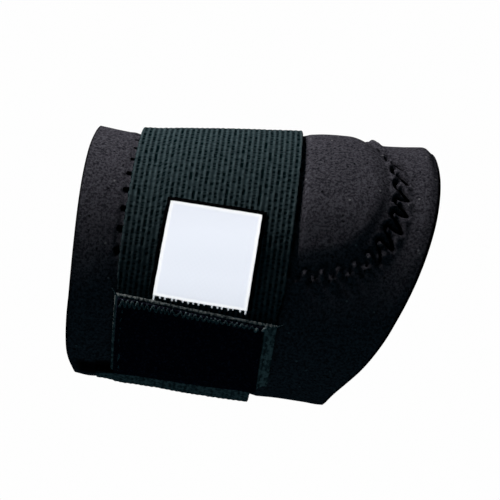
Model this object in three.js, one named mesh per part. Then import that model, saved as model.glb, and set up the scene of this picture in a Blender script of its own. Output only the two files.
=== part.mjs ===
import * as THREE from 'three';

// Elbow support worn on the upper forearm: neoprene sleeve with a sewn-in pad, a wrapped
// elastic strap, the strap's fastening tab and a blank label.
// Millimetres, +Z up. +X runs along the forearm towards the elbow, the near side faces -Y.
// Angles go round the forearm in degrees: 0 near side, 90 top, 180 far side, 270 underside.

// Sleeve sizes
const SLEEVE = {
  wall: 3.2,
  depthToHeight: 0.94,
  wristX: -56.8,
  wristLean: -0.8,
  elbowX: 48.9,
  elbowRise: 14.3,
  elbowSwing: 4.6,
  rollLength: 4.5,
  rollOuter: 1.7,
  rollInner: 0.8,
  columns: 64,
  rows: 24,
  denseAngle: 52,
  denseShare: 0.4,
};

// Height of the sleeve's outer face above the forearm axis, along the top and the underside
const TOP_LINE = [
  { x: -57, z: 42.4 },
  { x: -50, z: 41.7 },
  { x: -44, z: 41.5 },
  { x: -16, z: 43.2 },
  { x: 13, z: 45.5 },
  { x: 26, z: 46.2 },
  { x: 40, z: 46.5 },
  { x: 50, z: 46.9 },
  { x: 58, z: 47.3 },
];
const UNDER_LINE = [
  { x: -57, z: -44.1 },
  { x: -44, z: -43.8 },
  { x: -30, z: -44.2 },
  { x: -16, z: -44.9 },
  { x: 5, z: -45.1 },
  { x: 15, z: -44.9 },
  { x: 24, z: -45.2 },
  { x: 30, z: -45.8 },
  { x: 58, z: -46.2 },
];

// Seam line round the pad, as distance along the forearm and angle round it
const PAD_SEAM = [
  { x: 18, angle: -2 },
  { x: 29, angle: 1 },
  { x: 37, angle: 6 },
  { x: 43, angle: 15 },
  { x: 46.5, angle: 27 },
  { x: 47, angle: 38 },
  { x: 45.5, angle: 50 },
  { x: 42.5, angle: 62 },
  { x: 38.5, angle: 76 },
  { x: 33, angle: 92 },
  { x: 22, angle: 106 },
  { x: 5, angle: 112 },
  { x: -25, angle: 112 },
  { x: -43, angle: 100 },
  { x: -44, angle: 60 },
  { x: -43.5, angle: 20 },
  { x: -42, angle: -2 },
  { x: -20, angle: -3 },
];

// How far the pad pushes the sleeve out, along the forearm
const PAD_SWELL = [
  { x: -46, rise: 0.1 },
  { x: -38, rise: 0.35 },
  { x: -16, rise: 1.6 },
  { x: 13, rise: 1.75 },
  { x: 20, rise: 2.2 },
  { x: 26, rise: 2.3 },
  { x: 47, rise: 2.4 },
];

const PAD = {
  seamRadius: 45,
  seamSteps: 6,
  swellStart: -1.5,
  swellRunFront: 9,
  swellRunTop: 3.5,
  swellRunSoft: 14,
  grooveDepth: 0.8,
  grooveHalfWidth: 2.2,
  seamInset: 0.9,
  thickness: 3.4,
  rimThickness: 1.2,
  rings: 6,
  columns: 40,
  centreX: 4,
  centreAngle: 52,
};

// Elastic strap: one turn and a lap. Turn angles run on past 360 where it laps over itself.
const STRAP = {
  width: 55.5,
  thickness: 1.7,
  radius: 46,
  startTurn: -55,
  endTurn: 341.7,
  endSlant: 0.8,
  pressDepth: 0.5,
  pressMargin: 1.5,
  pressFade: 4,
  rampStart: 268,
  rampEnd: 297,
  slackRise: 0.9,
  edgeRound: 0.45,
  rings: 84,
  stations: 6,
};
const STRAP_MIDLINE = [
  { turn: -60, x: -18.4 },
  { turn: -20, x: -16.0 },
  { turn: 0, x: -15.1 },
  { turn: 50, x: -14.5 },
  { turn: 90, x: -15.0 },
  { turn: 150, x: -16.5 },
  { turn: 220, x: -20.5 },
  { turn: 270, x: -22.2 },
  { turn: 306, x: -18.6 },
  { turn: 328, x: -16.9 },
  { turn: 345, x: -16.0 },
];

const TAB = {
  thickness: 1.2,
  leftMargin: 0.5,
  rightMargin: 4.3,
  topMargin: 0.8,
  lowTurn: 306,
  lowSlant: 3,
  edgeRound: 0.35,
  rings: 12,
  stations: 6,
};

// Label corners on the strap, as distance along the forearm and angle round it
const LABEL = {
  topLeft: { x: -27.8, angle: 25.2 },
  topRight: { x: 3.0, angle: 20.6 },
  lowRight: { x: 0.3, angle: -17.2 },
  lowLeft: { x: -30.2, angle: -15.6 },
  thickness: 0.9,
  edgeRound: 0.25,
  rings: 10,
  stations: 5,
};

const LAYER_GAP = 0.3;
const PAD_GAP = 0.4;
const DEGREE = Math.PI / 180;

function smooth(low, high, value) {
  const f = Math.min(Math.max((value - low) / (high - low), 0), 1);
  return f * f * (3 - 2 * f);
}

function mix(a, b, f) {
  return a + (b - a) * f;
}

// Smooth curve through the rows of a table, held level beyond both ends
function curveThrough(rows, along, value) {
  const xs = rows.map((row) => row[along]);
  const ys = rows.map((row) => row[value]);
  const last = xs.length - 1;
  const slopes = xs.map((x, i) => {
    const before = Math.max(i - 1, 0);
    const after = Math.min(i + 1, last);
    return (ys[after] - ys[before]) / (xs[after] - xs[before]);
  });
  return (at) => {
    let i = 0;
    while (i < last - 1 && at > xs[i + 1]) i += 1;
    const span = xs[i + 1] - xs[i];
    const f = Math.min(Math.max((at - xs[i]) / span, 0), 1);
    const f2 = f * f;
    const f3 = f2 * f;
    const ends = ys[i] * (2 * f3 - 3 * f2 + 1) + ys[i + 1] * (3 * f2 - 2 * f3);
    const leans = slopes[i] * (f3 - 2 * f2 + f) + slopes[i + 1] * (f3 - f2);
    return ends + leans * span;
  };
}

const topAt = curveThrough(TOP_LINE, 'x', 'z');
const underAt = curveThrough(UNDER_LINE, 'x', 'z');
const swellAt = curveThrough(PAD_SWELL, 'x', 'rise');
const strapMidAt = curveThrough(STRAP_MIDLINE, 'turn', 'x');

// A point at a distance along the forearm, an angle round it and a lift from the plain sleeve
function place(x, angle, lift) {
  const half = (topAt(x) - underAt(x)) / 2;
  const centre = (topAt(x) + underAt(x)) / 2;
  const depth = half * SLEEVE.depthToHeight;
  const turn = angle * DEGREE;
  const y = -(depth + lift) * Math.cos(turn);
  const z = centre + (half + lift) * Math.sin(turn);
  return new THREE.Vector3(x, y, z);
}

// An angle brought into the full turn centred on a middle angle
function wrapAbout(angle, middle) {
  return angle - 360 * Math.round((angle - middle) / 360);
}

// The pad's seam as a closed smooth loop on the unrolled sleeve
function unrolledSeam() {
  const spots = PAD_SEAM.map((row) => {
    const arc = row.angle * DEGREE * PAD.seamRadius;
    return new THREE.Vector3(row.x, arc, 0);
  });
  const loop = new THREE.CatmullRomCurve3(spots, true, 'centripetal');
  return loop.getPoints(spots.length * PAD.seamSteps).slice(0, -1);
}
const SEAM_LOOP = unrolledSeam();

// Distance in from the pad's seam, negative outside it
function insideSeam(x, angle) {
  const arc = wrapAbout(angle, PAD.centreAngle) * DEGREE * PAD.seamRadius;
  let nearest = Infinity;
  let inside = false;
  SEAM_LOOP.forEach((a, i) => {
    const b = SEAM_LOOP[(i + 1) % SEAM_LOOP.length];
    const runX = b.x - a.x;
    const runY = b.y - a.y;
    const along = ((x - a.x) * runX + (arc - a.y) * runY) / (runX * runX + runY * runY);
    const f = Math.min(Math.max(along, 0), 1);
    nearest = Math.min(nearest, Math.hypot(x - a.x - f * runX, arc - a.y - f * runY));
    const crosses = (a.y > arc) !== (b.y > arc);
    if (crosses && x < a.x + ((arc - a.y) / runY) * runX) inside = !inside;
  });
  return inside ? nearest : -nearest;
}

// How much of the strap's pressure reaches a spot: 1 under the strap, fading out beside it
function strapCover(x, angle) {
  const middle = strapMidAt(wrapAbout(angle, 150));
  const beside = Math.abs(x - middle) - STRAP.width / 2 - STRAP.pressMargin;
  return 1 - smooth(0, STRAP.pressFade, beside);
}

// The pad's swelling where cloth lies smoothly over it
function softSwell(x, angle) {
  return swellAt(x) * smooth(PAD.swellStart, PAD.swellRunSoft, insideSeam(x, angle));
}

// The pad's swelling in the bare sleeve, with a steep foot at the seam and the seam's groove
function bareSwell(x, angle) {
  const inside = insideSeam(x, angle);
  const towardsTop = smooth(20, 75, wrapAbout(angle, PAD.centreAngle));
  const run = mix(PAD.swellRunFront, PAD.swellRunTop, towardsTop);
  const groove = PAD.grooveDepth * Math.exp(-((inside / PAD.grooveHalfWidth) ** 2));
  return swellAt(x) * smooth(PAD.swellStart, run, inside) - groove;
}

function elbowEdge(angle) {
  const turn = angle * DEGREE;
  return SLEEVE.elbowX + SLEEVE.elbowRise * Math.sin(turn) + SLEEVE.elbowSwing * Math.cos(2 * turn);
}

function wristEdge(angle) {
  return SLEEVE.wristX + SLEEVE.wristLean * Math.sin(angle * DEGREE);
}

function sleeveOuterLift(x, angle) {
  const cover = strapCover(x, angle);
  const swell = mix(bareSwell(x, angle), softSwell(x, angle), cover);
  const roll = smooth(-SLEEVE.rollLength, 0, x - elbowEdge(angle));
  return swell - STRAP.pressDepth * cover - SLEEVE.rollOuter * roll * roll;
}

function sleeveInnerLift(x, angle) {
  const roll = smooth(-SLEEVE.rollLength, 0, x - elbowEdge(angle));
  const press = STRAP.pressDepth * strapCover(x, angle);
  return softSwell(x, angle) - press - SLEEVE.wall - SLEEVE.rollInner * roll;
}

// How far the strap's inner face stands off the pressed sleeve
function strapStandOff(turn, across) {
  const ramp = smooth(STRAP.rampStart, STRAP.rampEnd, turn);
  const lap = (STRAP.thickness + LAYER_GAP) * ramp;
  const under = smooth(235, 262, turn) * (1 - ramp);
  const slack = STRAP.slackRise * under * smooth(-10, 22, across);
  return LAYER_GAP + lap + slack;
}

// A spot on the strap from its turn angle, the distance across it and a height over its inner face
function onStrap(turn, across, height) {
  const step = 1;
  const rise = strapMidAt(turn + step) - strapMidAt(turn - step);
  const slant = Math.atan2(rise, 2 * step * DEGREE * STRAP.radius);
  const x = strapMidAt(turn) + across * Math.cos(slant);
  const angle = turn - (across * Math.sin(slant)) / STRAP.radius / DEGREE;
  const pressed = softSwell(x, angle) - STRAP.pressDepth;
  return place(x, angle, pressed + strapStandOff(turn, across) + height);
}

// Section round a flat strip: out along the outer face and back along the inner one.
// Each spot is a share across the strip, 0 to 1, a height and how far it is drawn in at the edge.
function stripSection(stations, thickness, edgeRound) {
  const spots = [];
  const low = edgeRound;
  const high = thickness - edgeRound;
  spots.push({ share: 0, height: low, inset: 0 });
  spots.push({ share: 0, height: high, inset: 0 });
  for (let i = 0; i <= stations; i += 1) {
    const inset = i === 0 || i === stations ? edgeRound : 0;
    spots.push({ share: i / stations, height: thickness, inset });
  }
  spots.push({ share: 1, height: high, inset: 0 });
  spots.push({ share: 1, height: low, inset: 0 });
  for (let i = stations; i >= 0; i -= 1) {
    const inset = i === 0 || i === stations ? edgeRound : 0;
    spots.push({ share: i / stations, height: 0, inset });
  }
  return spots;
}

// Distance across a strip for one spot of its section
function acrossAt(spot, left, right) {
  const inward = spot.share < 0.5 ? spot.inset : -spot.inset;
  return mix(left, right, spot.share) + inward;
}

function volumeOf(points, faces) {
  let sum = 0;
  const cross = new THREE.Vector3();
  faces.forEach(([a, b, c]) => {
    cross.crossVectors(points[b], points[c]);
    sum += points[a].dot(cross) / 6;
  });
  return sum;
}

// A closed solid from a stack of rings, joined end to start or capped at both ends
function ringSolid(name, rings, joined, finish) {
  const count = rings[0].length;
  const points = rings.flat();
  const faces = [];
  const joins = joined ? rings.length : rings.length - 1;
  for (let r = 0; r < joins; r += 1) {
    const near = r * count;
    const far = ((r + 1) % rings.length) * count;
    for (let k = 0; k < count; k += 1) {
      const next = (k + 1) % count;
      faces.push([near + k, near + next, far + next]);
      faces.push([near + k, far + next, far + k]);
    }
  }
  if (!joined) {
    [0, rings.length - 1].forEach((r, end) => {
      const pole = points.length;
      const centre = new THREE.Vector3();
      rings[r].forEach((point) => centre.addScaledVector(point, 1 / count));
      points.push(centre);
      for (let k = 0; k < count; k += 1) {
        const a = r * count + k;
        const b = r * count + ((k + 1) % count);
        faces.push(end === 0 ? [pole, b, a] : [pole, a, b]);
      }
    });
  }
  const outward = volumeOf(points, faces) > 0;
  const order = outward ? faces : faces.map(([a, b, c]) => [a, c, b]);
  const geometry = new THREE.BufferGeometry().setFromPoints(points);
  geometry.setIndex(order.flat());
  geometry.computeVertexNormals();
  const mesh = new THREE.Mesh(geometry, new THREE.MeshStandardMaterial(finish));
  mesh.name = name;
  return mesh;
}

// Angles round the sleeve, closer together where the pad lies
function sleeveAngles() {
  return Array.from({ length: SLEEVE.columns }, (_, k) => {
    const even = (k / SLEEVE.columns) * 360 - 180;
    const bunch = (SLEEVE.denseShare * Math.sin(even * DEGREE)) / DEGREE;
    return SLEEVE.denseAngle + even - bunch;
  });
}

function buildSleeve() {
  const angles = sleeveAngles();
  const ringAt = (share, liftAt, side) => angles.map((angle) => {
    const x = mix(wristEdge(angle), elbowEdge(angle), share);
    return place(x, angle, liftAt(x, angle, side));
  });
  const shares = Array.from({ length: SLEEVE.rows + 1 }, (_, r) => {
    return 1 - (1 - r / SLEEVE.rows) ** 1.5;
  });
  const outer = shares.map((share) => ringAt(share, sleeveOuterLift));
  const inner = shares.map((share) => ringAt(share, sleeveInnerLift)).reverse();
  const finish = { color: 0x2b2a2e, roughness: 0.95 };
  return ringSolid('sleeve', [...outer, ...inner], true, finish);
}

// The pad lies against the sleeve's inner face: a low cushion with a thin rim, drawn in from the seam
function buildPad() {
  const centre = { x: PAD.centreX, arc: PAD.centreAngle * DEGREE * PAD.seamRadius };
  const stride = SEAM_LOOP.length / PAD.columns;
  const rim = Array.from({ length: PAD.columns }, (_, k) => SEAM_LOOP[Math.floor(k * stride)]);
  const ringAt = (share, face) => rim.map((spot) => {
    const reach = share * PAD.seamInset;
    const x = mix(centre.x, spot.x, reach);
    const angle = mix(centre.arc, spot.y, reach) / PAD.seamRadius / DEGREE;
    const cushion = mix(PAD.thickness, PAD.rimThickness, share ** 3);
    const depth = face === 'outer' ? 0 : cushion;
    return place(x, angle, sleeveInnerLift(x, angle) - PAD_GAP - depth);
  });
  const shares = Array.from({ length: PAD.rings }, (_, r) => (r + 1) / PAD.rings);
  const outer = shares.map((share) => ringAt(share, 'outer'));
  const inner = shares.map((share) => ringAt(share, 'inner')).reverse();
  const finish = { color: 0x232226, roughness: 0.95 };
  return ringSolid('epicondyle_pad', [...outer, ...inner], false, finish);
}

// The turn where the strap's outer end is cut, for a distance across it
function strapEnd(across) {
  return STRAP.endTurn - STRAP.endSlant * (across / (STRAP.width / 2));
}

function buildStrap() {
  const half = STRAP.width / 2;
  const section = stripSection(STRAP.stations, STRAP.thickness, STRAP.edgeRound);
  const rings = Array.from({ length: STRAP.rings + 1 }, (_, r) => section.map((spot) => {
    const across = acrossAt(spot, -half, half);
    const turn = mix(STRAP.startTurn, strapEnd(across), r / STRAP.rings);
    return onStrap(turn, across, spot.height);
  }));
  return ringSolid('elastic_strap', rings, false, { color: 0x26312f, roughness: 0.9 });
}

function buildTab() {
  const left = -STRAP.width / 2 + TAB.leftMargin;
  const right = STRAP.width / 2 - TAB.rightMargin;
  const foot = STRAP.thickness + LAYER_GAP;
  const margin = TAB.topMargin / STRAP.radius / DEGREE;
  const section = stripSection(TAB.stations, TAB.thickness, TAB.edgeRound);
  const rings = Array.from({ length: TAB.rings + 1 }, (_, r) => section.map((spot) => {
    const across = acrossAt(spot, left, right);
    const low = TAB.lowTurn + TAB.lowSlant * (across / (STRAP.width / 2));
    const turn = mix(low, strapEnd(across) - margin, r / TAB.rings);
    return onStrap(turn, across, foot + spot.height);
  }));
  return ringSolid('fastener_tab', rings, false, { color: 0x0b0c0e, roughness: 1 });
}

function buildLabel() {
  const foot = LAYER_GAP + STRAP.thickness + LAYER_GAP;
  const section = stripSection(LABEL.stations, LABEL.thickness, LABEL.edgeRound);
  const rings = Array.from({ length: LABEL.rings + 1 }, (_, r) => section.map((spot) => {
    const down = r / LABEL.rings;
    const leftX = mix(LABEL.topLeft.x, LABEL.lowLeft.x, down);
    const rightX = mix(LABEL.topRight.x, LABEL.lowRight.x, down);
    const leftAngle = mix(LABEL.topLeft.angle, LABEL.lowLeft.angle, down);
    const rightAngle = mix(LABEL.topRight.angle, LABEL.lowRight.angle, down);
    const x = acrossAt(spot, leftX, rightX);
    const angle = mix(leftAngle, rightAngle, spot.share);
    return place(x, angle, softSwell(x, angle) - STRAP.pressDepth + foot + spot.height);
  }));
  return ringSolid('label', rings, false, { color: 0xe9eff6, roughness: 0.7 });
}

const support = new THREE.Group();
support.name = 'elbow_support';
support.add(buildSleeve());
support.add(buildPad());
support.add(buildStrap());
support.add(buildTab());
support.add(buildLabel());

export default support;
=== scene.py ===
"""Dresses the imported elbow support: sleeve, pad, elastic strap, fastening tab, label and stitching."""

import logging
import math
from dataclasses import dataclass, field
from enum import Enum
from functools import cached_property
from typing import Any, Optional, Union

import bpy
import numpy as np
from mathutils import Matrix, Vector


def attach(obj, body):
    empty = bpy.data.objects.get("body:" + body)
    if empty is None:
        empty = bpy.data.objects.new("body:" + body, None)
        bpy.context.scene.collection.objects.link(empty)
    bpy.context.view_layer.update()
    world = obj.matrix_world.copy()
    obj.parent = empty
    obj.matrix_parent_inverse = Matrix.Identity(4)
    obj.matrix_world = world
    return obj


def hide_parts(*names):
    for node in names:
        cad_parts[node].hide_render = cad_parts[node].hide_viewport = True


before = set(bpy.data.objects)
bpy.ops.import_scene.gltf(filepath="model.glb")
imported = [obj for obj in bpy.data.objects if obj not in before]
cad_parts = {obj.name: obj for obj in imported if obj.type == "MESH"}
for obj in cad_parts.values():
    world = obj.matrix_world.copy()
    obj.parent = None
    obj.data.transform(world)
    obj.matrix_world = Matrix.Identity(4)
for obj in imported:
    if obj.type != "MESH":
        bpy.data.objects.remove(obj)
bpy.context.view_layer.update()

LOG = logging.getLogger("elbow_support")
MM = 0.001
BODY = "root"
END_STEPS = 5
THINNEST = 0.06
BLUNT_END = 0.05

Array = np.ndarray
Floats = Union[float, Array]
Pair = tuple[float, float]
Span = tuple[float, float, float, float]
Triple = tuple[Array, Array, Array]
Colour = tuple[float, float, float]
Object = bpy.types.Object
Material = bpy.types.Material


class Slot(Enum):
    """The record's material slots."""

    NEOPRENE = "neoprene"
    PAD = "pad_foam"
    ELASTIC = "elastic"
    PILE = "pile"
    LABEL = "label_cloth"


class Side(Enum):
    """Which face of the sleeve wall a surface lies on."""

    OUTER = "outer"
    INNER = "inner"


# Plain maths on arrays


def smooth(low: Floats, high: Floats, value: Floats) -> Floats:
    """Cubic ease: 0 below low, 1 above high, 3f squared minus 2f cubed between."""
    f = np.clip((value - low) / (high - low), 0.0, 1.0)
    return f * f * (3.0 - 2.0 * f)


def window(span: Span, value: Floats) -> Floats:
    """1 between the span's two middle places, eased to 0 at its first and last."""
    return smooth(*span[:2], value) * (1.0 - smooth(*span[2:], value))


def mix(a: Floats, b: Floats, f: Floats) -> Floats:
    """Straight blend from a to b."""
    return a + (b - a) * f


def hermite(a: Array, b: Array, lean_a: Array, lean_b: Array, f: Array) -> Array:
    """Cubic from a to b as f goes from 0 to 1, with the given slopes at its ends."""
    ends = mix(a, b, f * f * (3.0 - 2.0 * f))
    return ends + lean_a * f * (1.0 - f) ** 2 - lean_b * f * f * (1.0 - f)


def bell(value: Floats, half_width: Floats) -> Floats:
    """Bell curve: 1 at zero, falling as exp of minus the square."""
    return np.exp(-((value / half_width) ** 2))


def triangle(phase: Array) -> Array:
    """Triangle wave of period 1, from -1 at phase 0 up to 1 at phase one half."""
    f = phase - np.floor(phase)
    return 1.0 - 4.0 * np.abs(f - 0.5)


def unit(vectors: Array) -> Array:
    """Vectors scaled to length 1."""
    return vectors / np.linalg.norm(vectors, axis=-1, keepdims=True)


def within_turn(angle: Floats, middle: float) -> Floats:
    """The angle in the turn of 360 degrees that is centred on middle."""
    return angle - 360.0 * np.round((angle - middle) / 360.0)


def closed_columns(values: Array) -> Array:
    """Values with the first column repeated at the end."""
    return np.concatenate([values, values[:, :1]], axis=1)


def cloth_uv(u: Array, v: Array) -> Array:
    """Surface distances of a stack of rings, with each ring closed."""
    return closed_columns(np.stack(np.broadcast_arrays(u, v), axis=-1))


def corners(grid: Array) -> Array:
    """The four corners of every cell of a grid."""
    return np.stack([grid[:-1, :-1], grid[:-1, 1:], grid[1:, 1:], grid[1:, :-1]], axis=2)


@dataclass(frozen=True)
class Grain:
    """Value noise: seeded random heights on a square lattice, eased between lattice points.

    Attributes:
        height: Largest height.
        cell: Lattice spacing.
        seed: Seed of the random heights.
        size: Lattice points before the pattern repeats.
    """

    height: float
    cell: float
    seed: int
    size: int = 256

    def __call__(self, u: Floats, v: Floats = 0.0) -> Array:
        """Heights at surface distances.

        Args:
            u: First surface distance, in the unit of the cell.
            v: Second surface distance.

        Returns:
            Heights up or down by the largest height, in the shape of u and v.
        """
        table = np.random.default_rng(self.seed).uniform(-1.0, 1.0, (self.size, self.size))
        p = np.asarray(u) / self.cell
        q = np.asarray(v) / self.cell
        i = np.floor(p).astype(int)
        j = np.floor(q).astype(int)
        ease = smooth(0.0, 1.0, p - i)
        here = i % self.size
        beyond = (i + 1) % self.size
        near, far = (mix(table[here, k % self.size], table[beyond, k % self.size], ease) for k in (j, j + 1))
        return self.height * mix(near, far, smooth(0.0, 1.0, q - j))


@dataclass(frozen=True)
class Curve:
    """A smooth line through rows of (place, value), held level beyond both ends."""

    rows: tuple[Pair, ...]

    def __call__(self, at: Floats) -> Array:
        """Cubic Hermite curve whose slope at a row is the chord between its neighbours.

        Args:
            at: Places along the curve.

        Returns:
            The curve's values there.
        """
        xs, ys = np.array(self.rows).T
        slopes = np.empty_like(ys)
        slopes[1:-1] = (ys[2:] - ys[:-2]) / (xs[2:] - xs[:-2])
        slopes[[0, -1]] = np.diff(ys)[[0, -1]] / np.diff(xs)[[0, -1]]
        i = np.clip(np.searchsorted(xs, at, side="right") - 1, 0, len(xs) - 2)
        span = xs[i + 1] - xs[i]
        f = np.clip((at - xs[i]) / span, 0.0, 1.0)
        return hermite(ys[i], ys[i + 1], slopes[i] * span, slopes[i + 1] * span, f)


@dataclass(frozen=True)
class SeamLoop:
    """The closed seam round the pad, on the unrolled sleeve: x along the arm, arc round it.

    Attributes:
        rows: Points of the seam, as x and angle.
        radius: Radius at which angles are unrolled.
        steps: Points from one row to the next.
        middle: Angle of the pad's middle.
        block: Spots that are measured at a time.
    """

    rows: tuple[Pair, ...]
    radius: float = 45.0
    steps: int = 16
    middle: float = 52.0
    block: int = 8192

    @cached_property
    def points(self) -> Array:
        """Centripetal Catmull-Rom loop through the rows, as (n, 2) distances."""
        p1 = np.array(self.rows)
        p1[:, 1] = np.radians(p1[:, 1]) * self.radius
        p0, p2, p3 = (np.roll(p1, shift, axis=0) for shift in (1, -1, -2))
        pairs = ((p0, p1), (p1, p2), (p2, p3))
        d0, d1, d2 = (np.sqrt(np.linalg.norm(b - a, axis=1))[:, None] for a, b in pairs)
        m1 = ((p1 - p0) / d0 - (p2 - p0) / (d0 + d1) + (p2 - p1) / d1) * d1
        m2 = ((p2 - p1) / d1 - (p3 - p1) / (d1 + d2) + (p3 - p2) / d2) * d1
        f = (np.arange(self.steps) / self.steps)[None, :, None]
        return hermite(*(q[:, None, :] for q in (p1, p2, m1, m2)), f).reshape(-1, 2)

    @cached_property
    def stations(self) -> Array:
        """Distance along the loop at each point, with the full length as the last entry."""
        gaps = np.linalg.norm(np.roll(self.points, -1, axis=0) - self.points, axis=1)
        return np.concatenate([[0.0], np.cumsum(gaps)])

    @property
    def length(self) -> float:
        """Length of the whole loop."""
        return float(self.stations[-1])

    def arc_of(self, angle: Array) -> Array:
        """Distance round the sleeve for an angle, in the turn centred on the pad."""
        return np.radians(within_turn(angle, self.middle)) * self.radius

    def nearest(self, x: Array, angle: Array) -> tuple[Array, Array]:
        """Distance in from the seam, negative outside, and the place along the seam.

        Args:
            x: Distances along the arm.
            angle: Angles round it, in degrees.

        Returns:
            The signed distances and the distances along the loop, in the shape of x.
        """
        a = self.points
        run = np.roll(a, -1, axis=0) - a
        squared = (run**2).sum(axis=1)
        rise = np.where(run[:, 1] == 0.0, 1.0, run[:, 1])
        spots = np.stack([np.ravel(x), np.ravel(self.arc_of(angle))], axis=1)
        inside = np.empty(len(spots))
        along = np.empty(len(spots))
        for block in np.array_split(np.arange(len(spots)), len(spots) // self.block + 1):
            off = spots[block, None, :] - a[None, :, :]
            f = np.clip((off * run).sum(axis=2) / squared, 0.0, 1.0)
            gap = np.linalg.norm(off - f[:, :, None] * run, axis=2)
            best = gap.argmin(axis=1)
            pick = np.arange(len(block))
            low = off[:, :, 1] < 0.0
            crosses = low != np.roll(low, -1, axis=1)
            left = off[:, :, 0] < off[:, :, 1] / rise * run[:, 0]
            odd = (crosses & left).sum(axis=1) % 2 == 1
            inside[block] = np.where(odd, gap[pick, best], -gap[pick, best])
            along[block] = self.stations[best] + f[pick, best] * np.sqrt(squared[best])
        return inside.reshape(np.shape(x)), along.reshape(np.shape(x))

    def at(self, along: Array, inward: Array) -> tuple[Array, Array]:
        """Spots beside the loop.

        Args:
            along: Distances along the loop.
            inward: Distances in from it.

        Returns:
            The spots' distances along the arm and their angles round it.
        """
        tangent = unit(np.roll(self.points, -1, axis=0) - np.roll(self.points, 1, axis=0))
        columns = np.stack([*self.points.T, -tangent[:, 1], tangent[:, 0]])
        place = along % self.length
        x, arc, nx, narc = (np.interp(place, self.stations, row) for row in closed_columns(columns))
        return x + nx * inward, np.degrees((arc + narc * inward) / self.radius)


PAD_SEAM = SeamLoop(
    rows=(
        (18.0, -2.0), (29.0, 1.0), (37.0, 6.0), (43.0, 15.0), (46.5, 27.0), (47.0, 38.0), (45.5, 50.0),
        (42.5, 62.0), (38.6, 76.0), (36.0, 90.0), (31.0, 103.0), (20.0, 110.0), (5.0, 112.0),
        (-25.0, 112.0), (-40.0, 100.0), (-41.2, 60.0), (-41.8, 20.0), (-41.0, -2.0), (-20.0, -3.0),
    )
)


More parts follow.
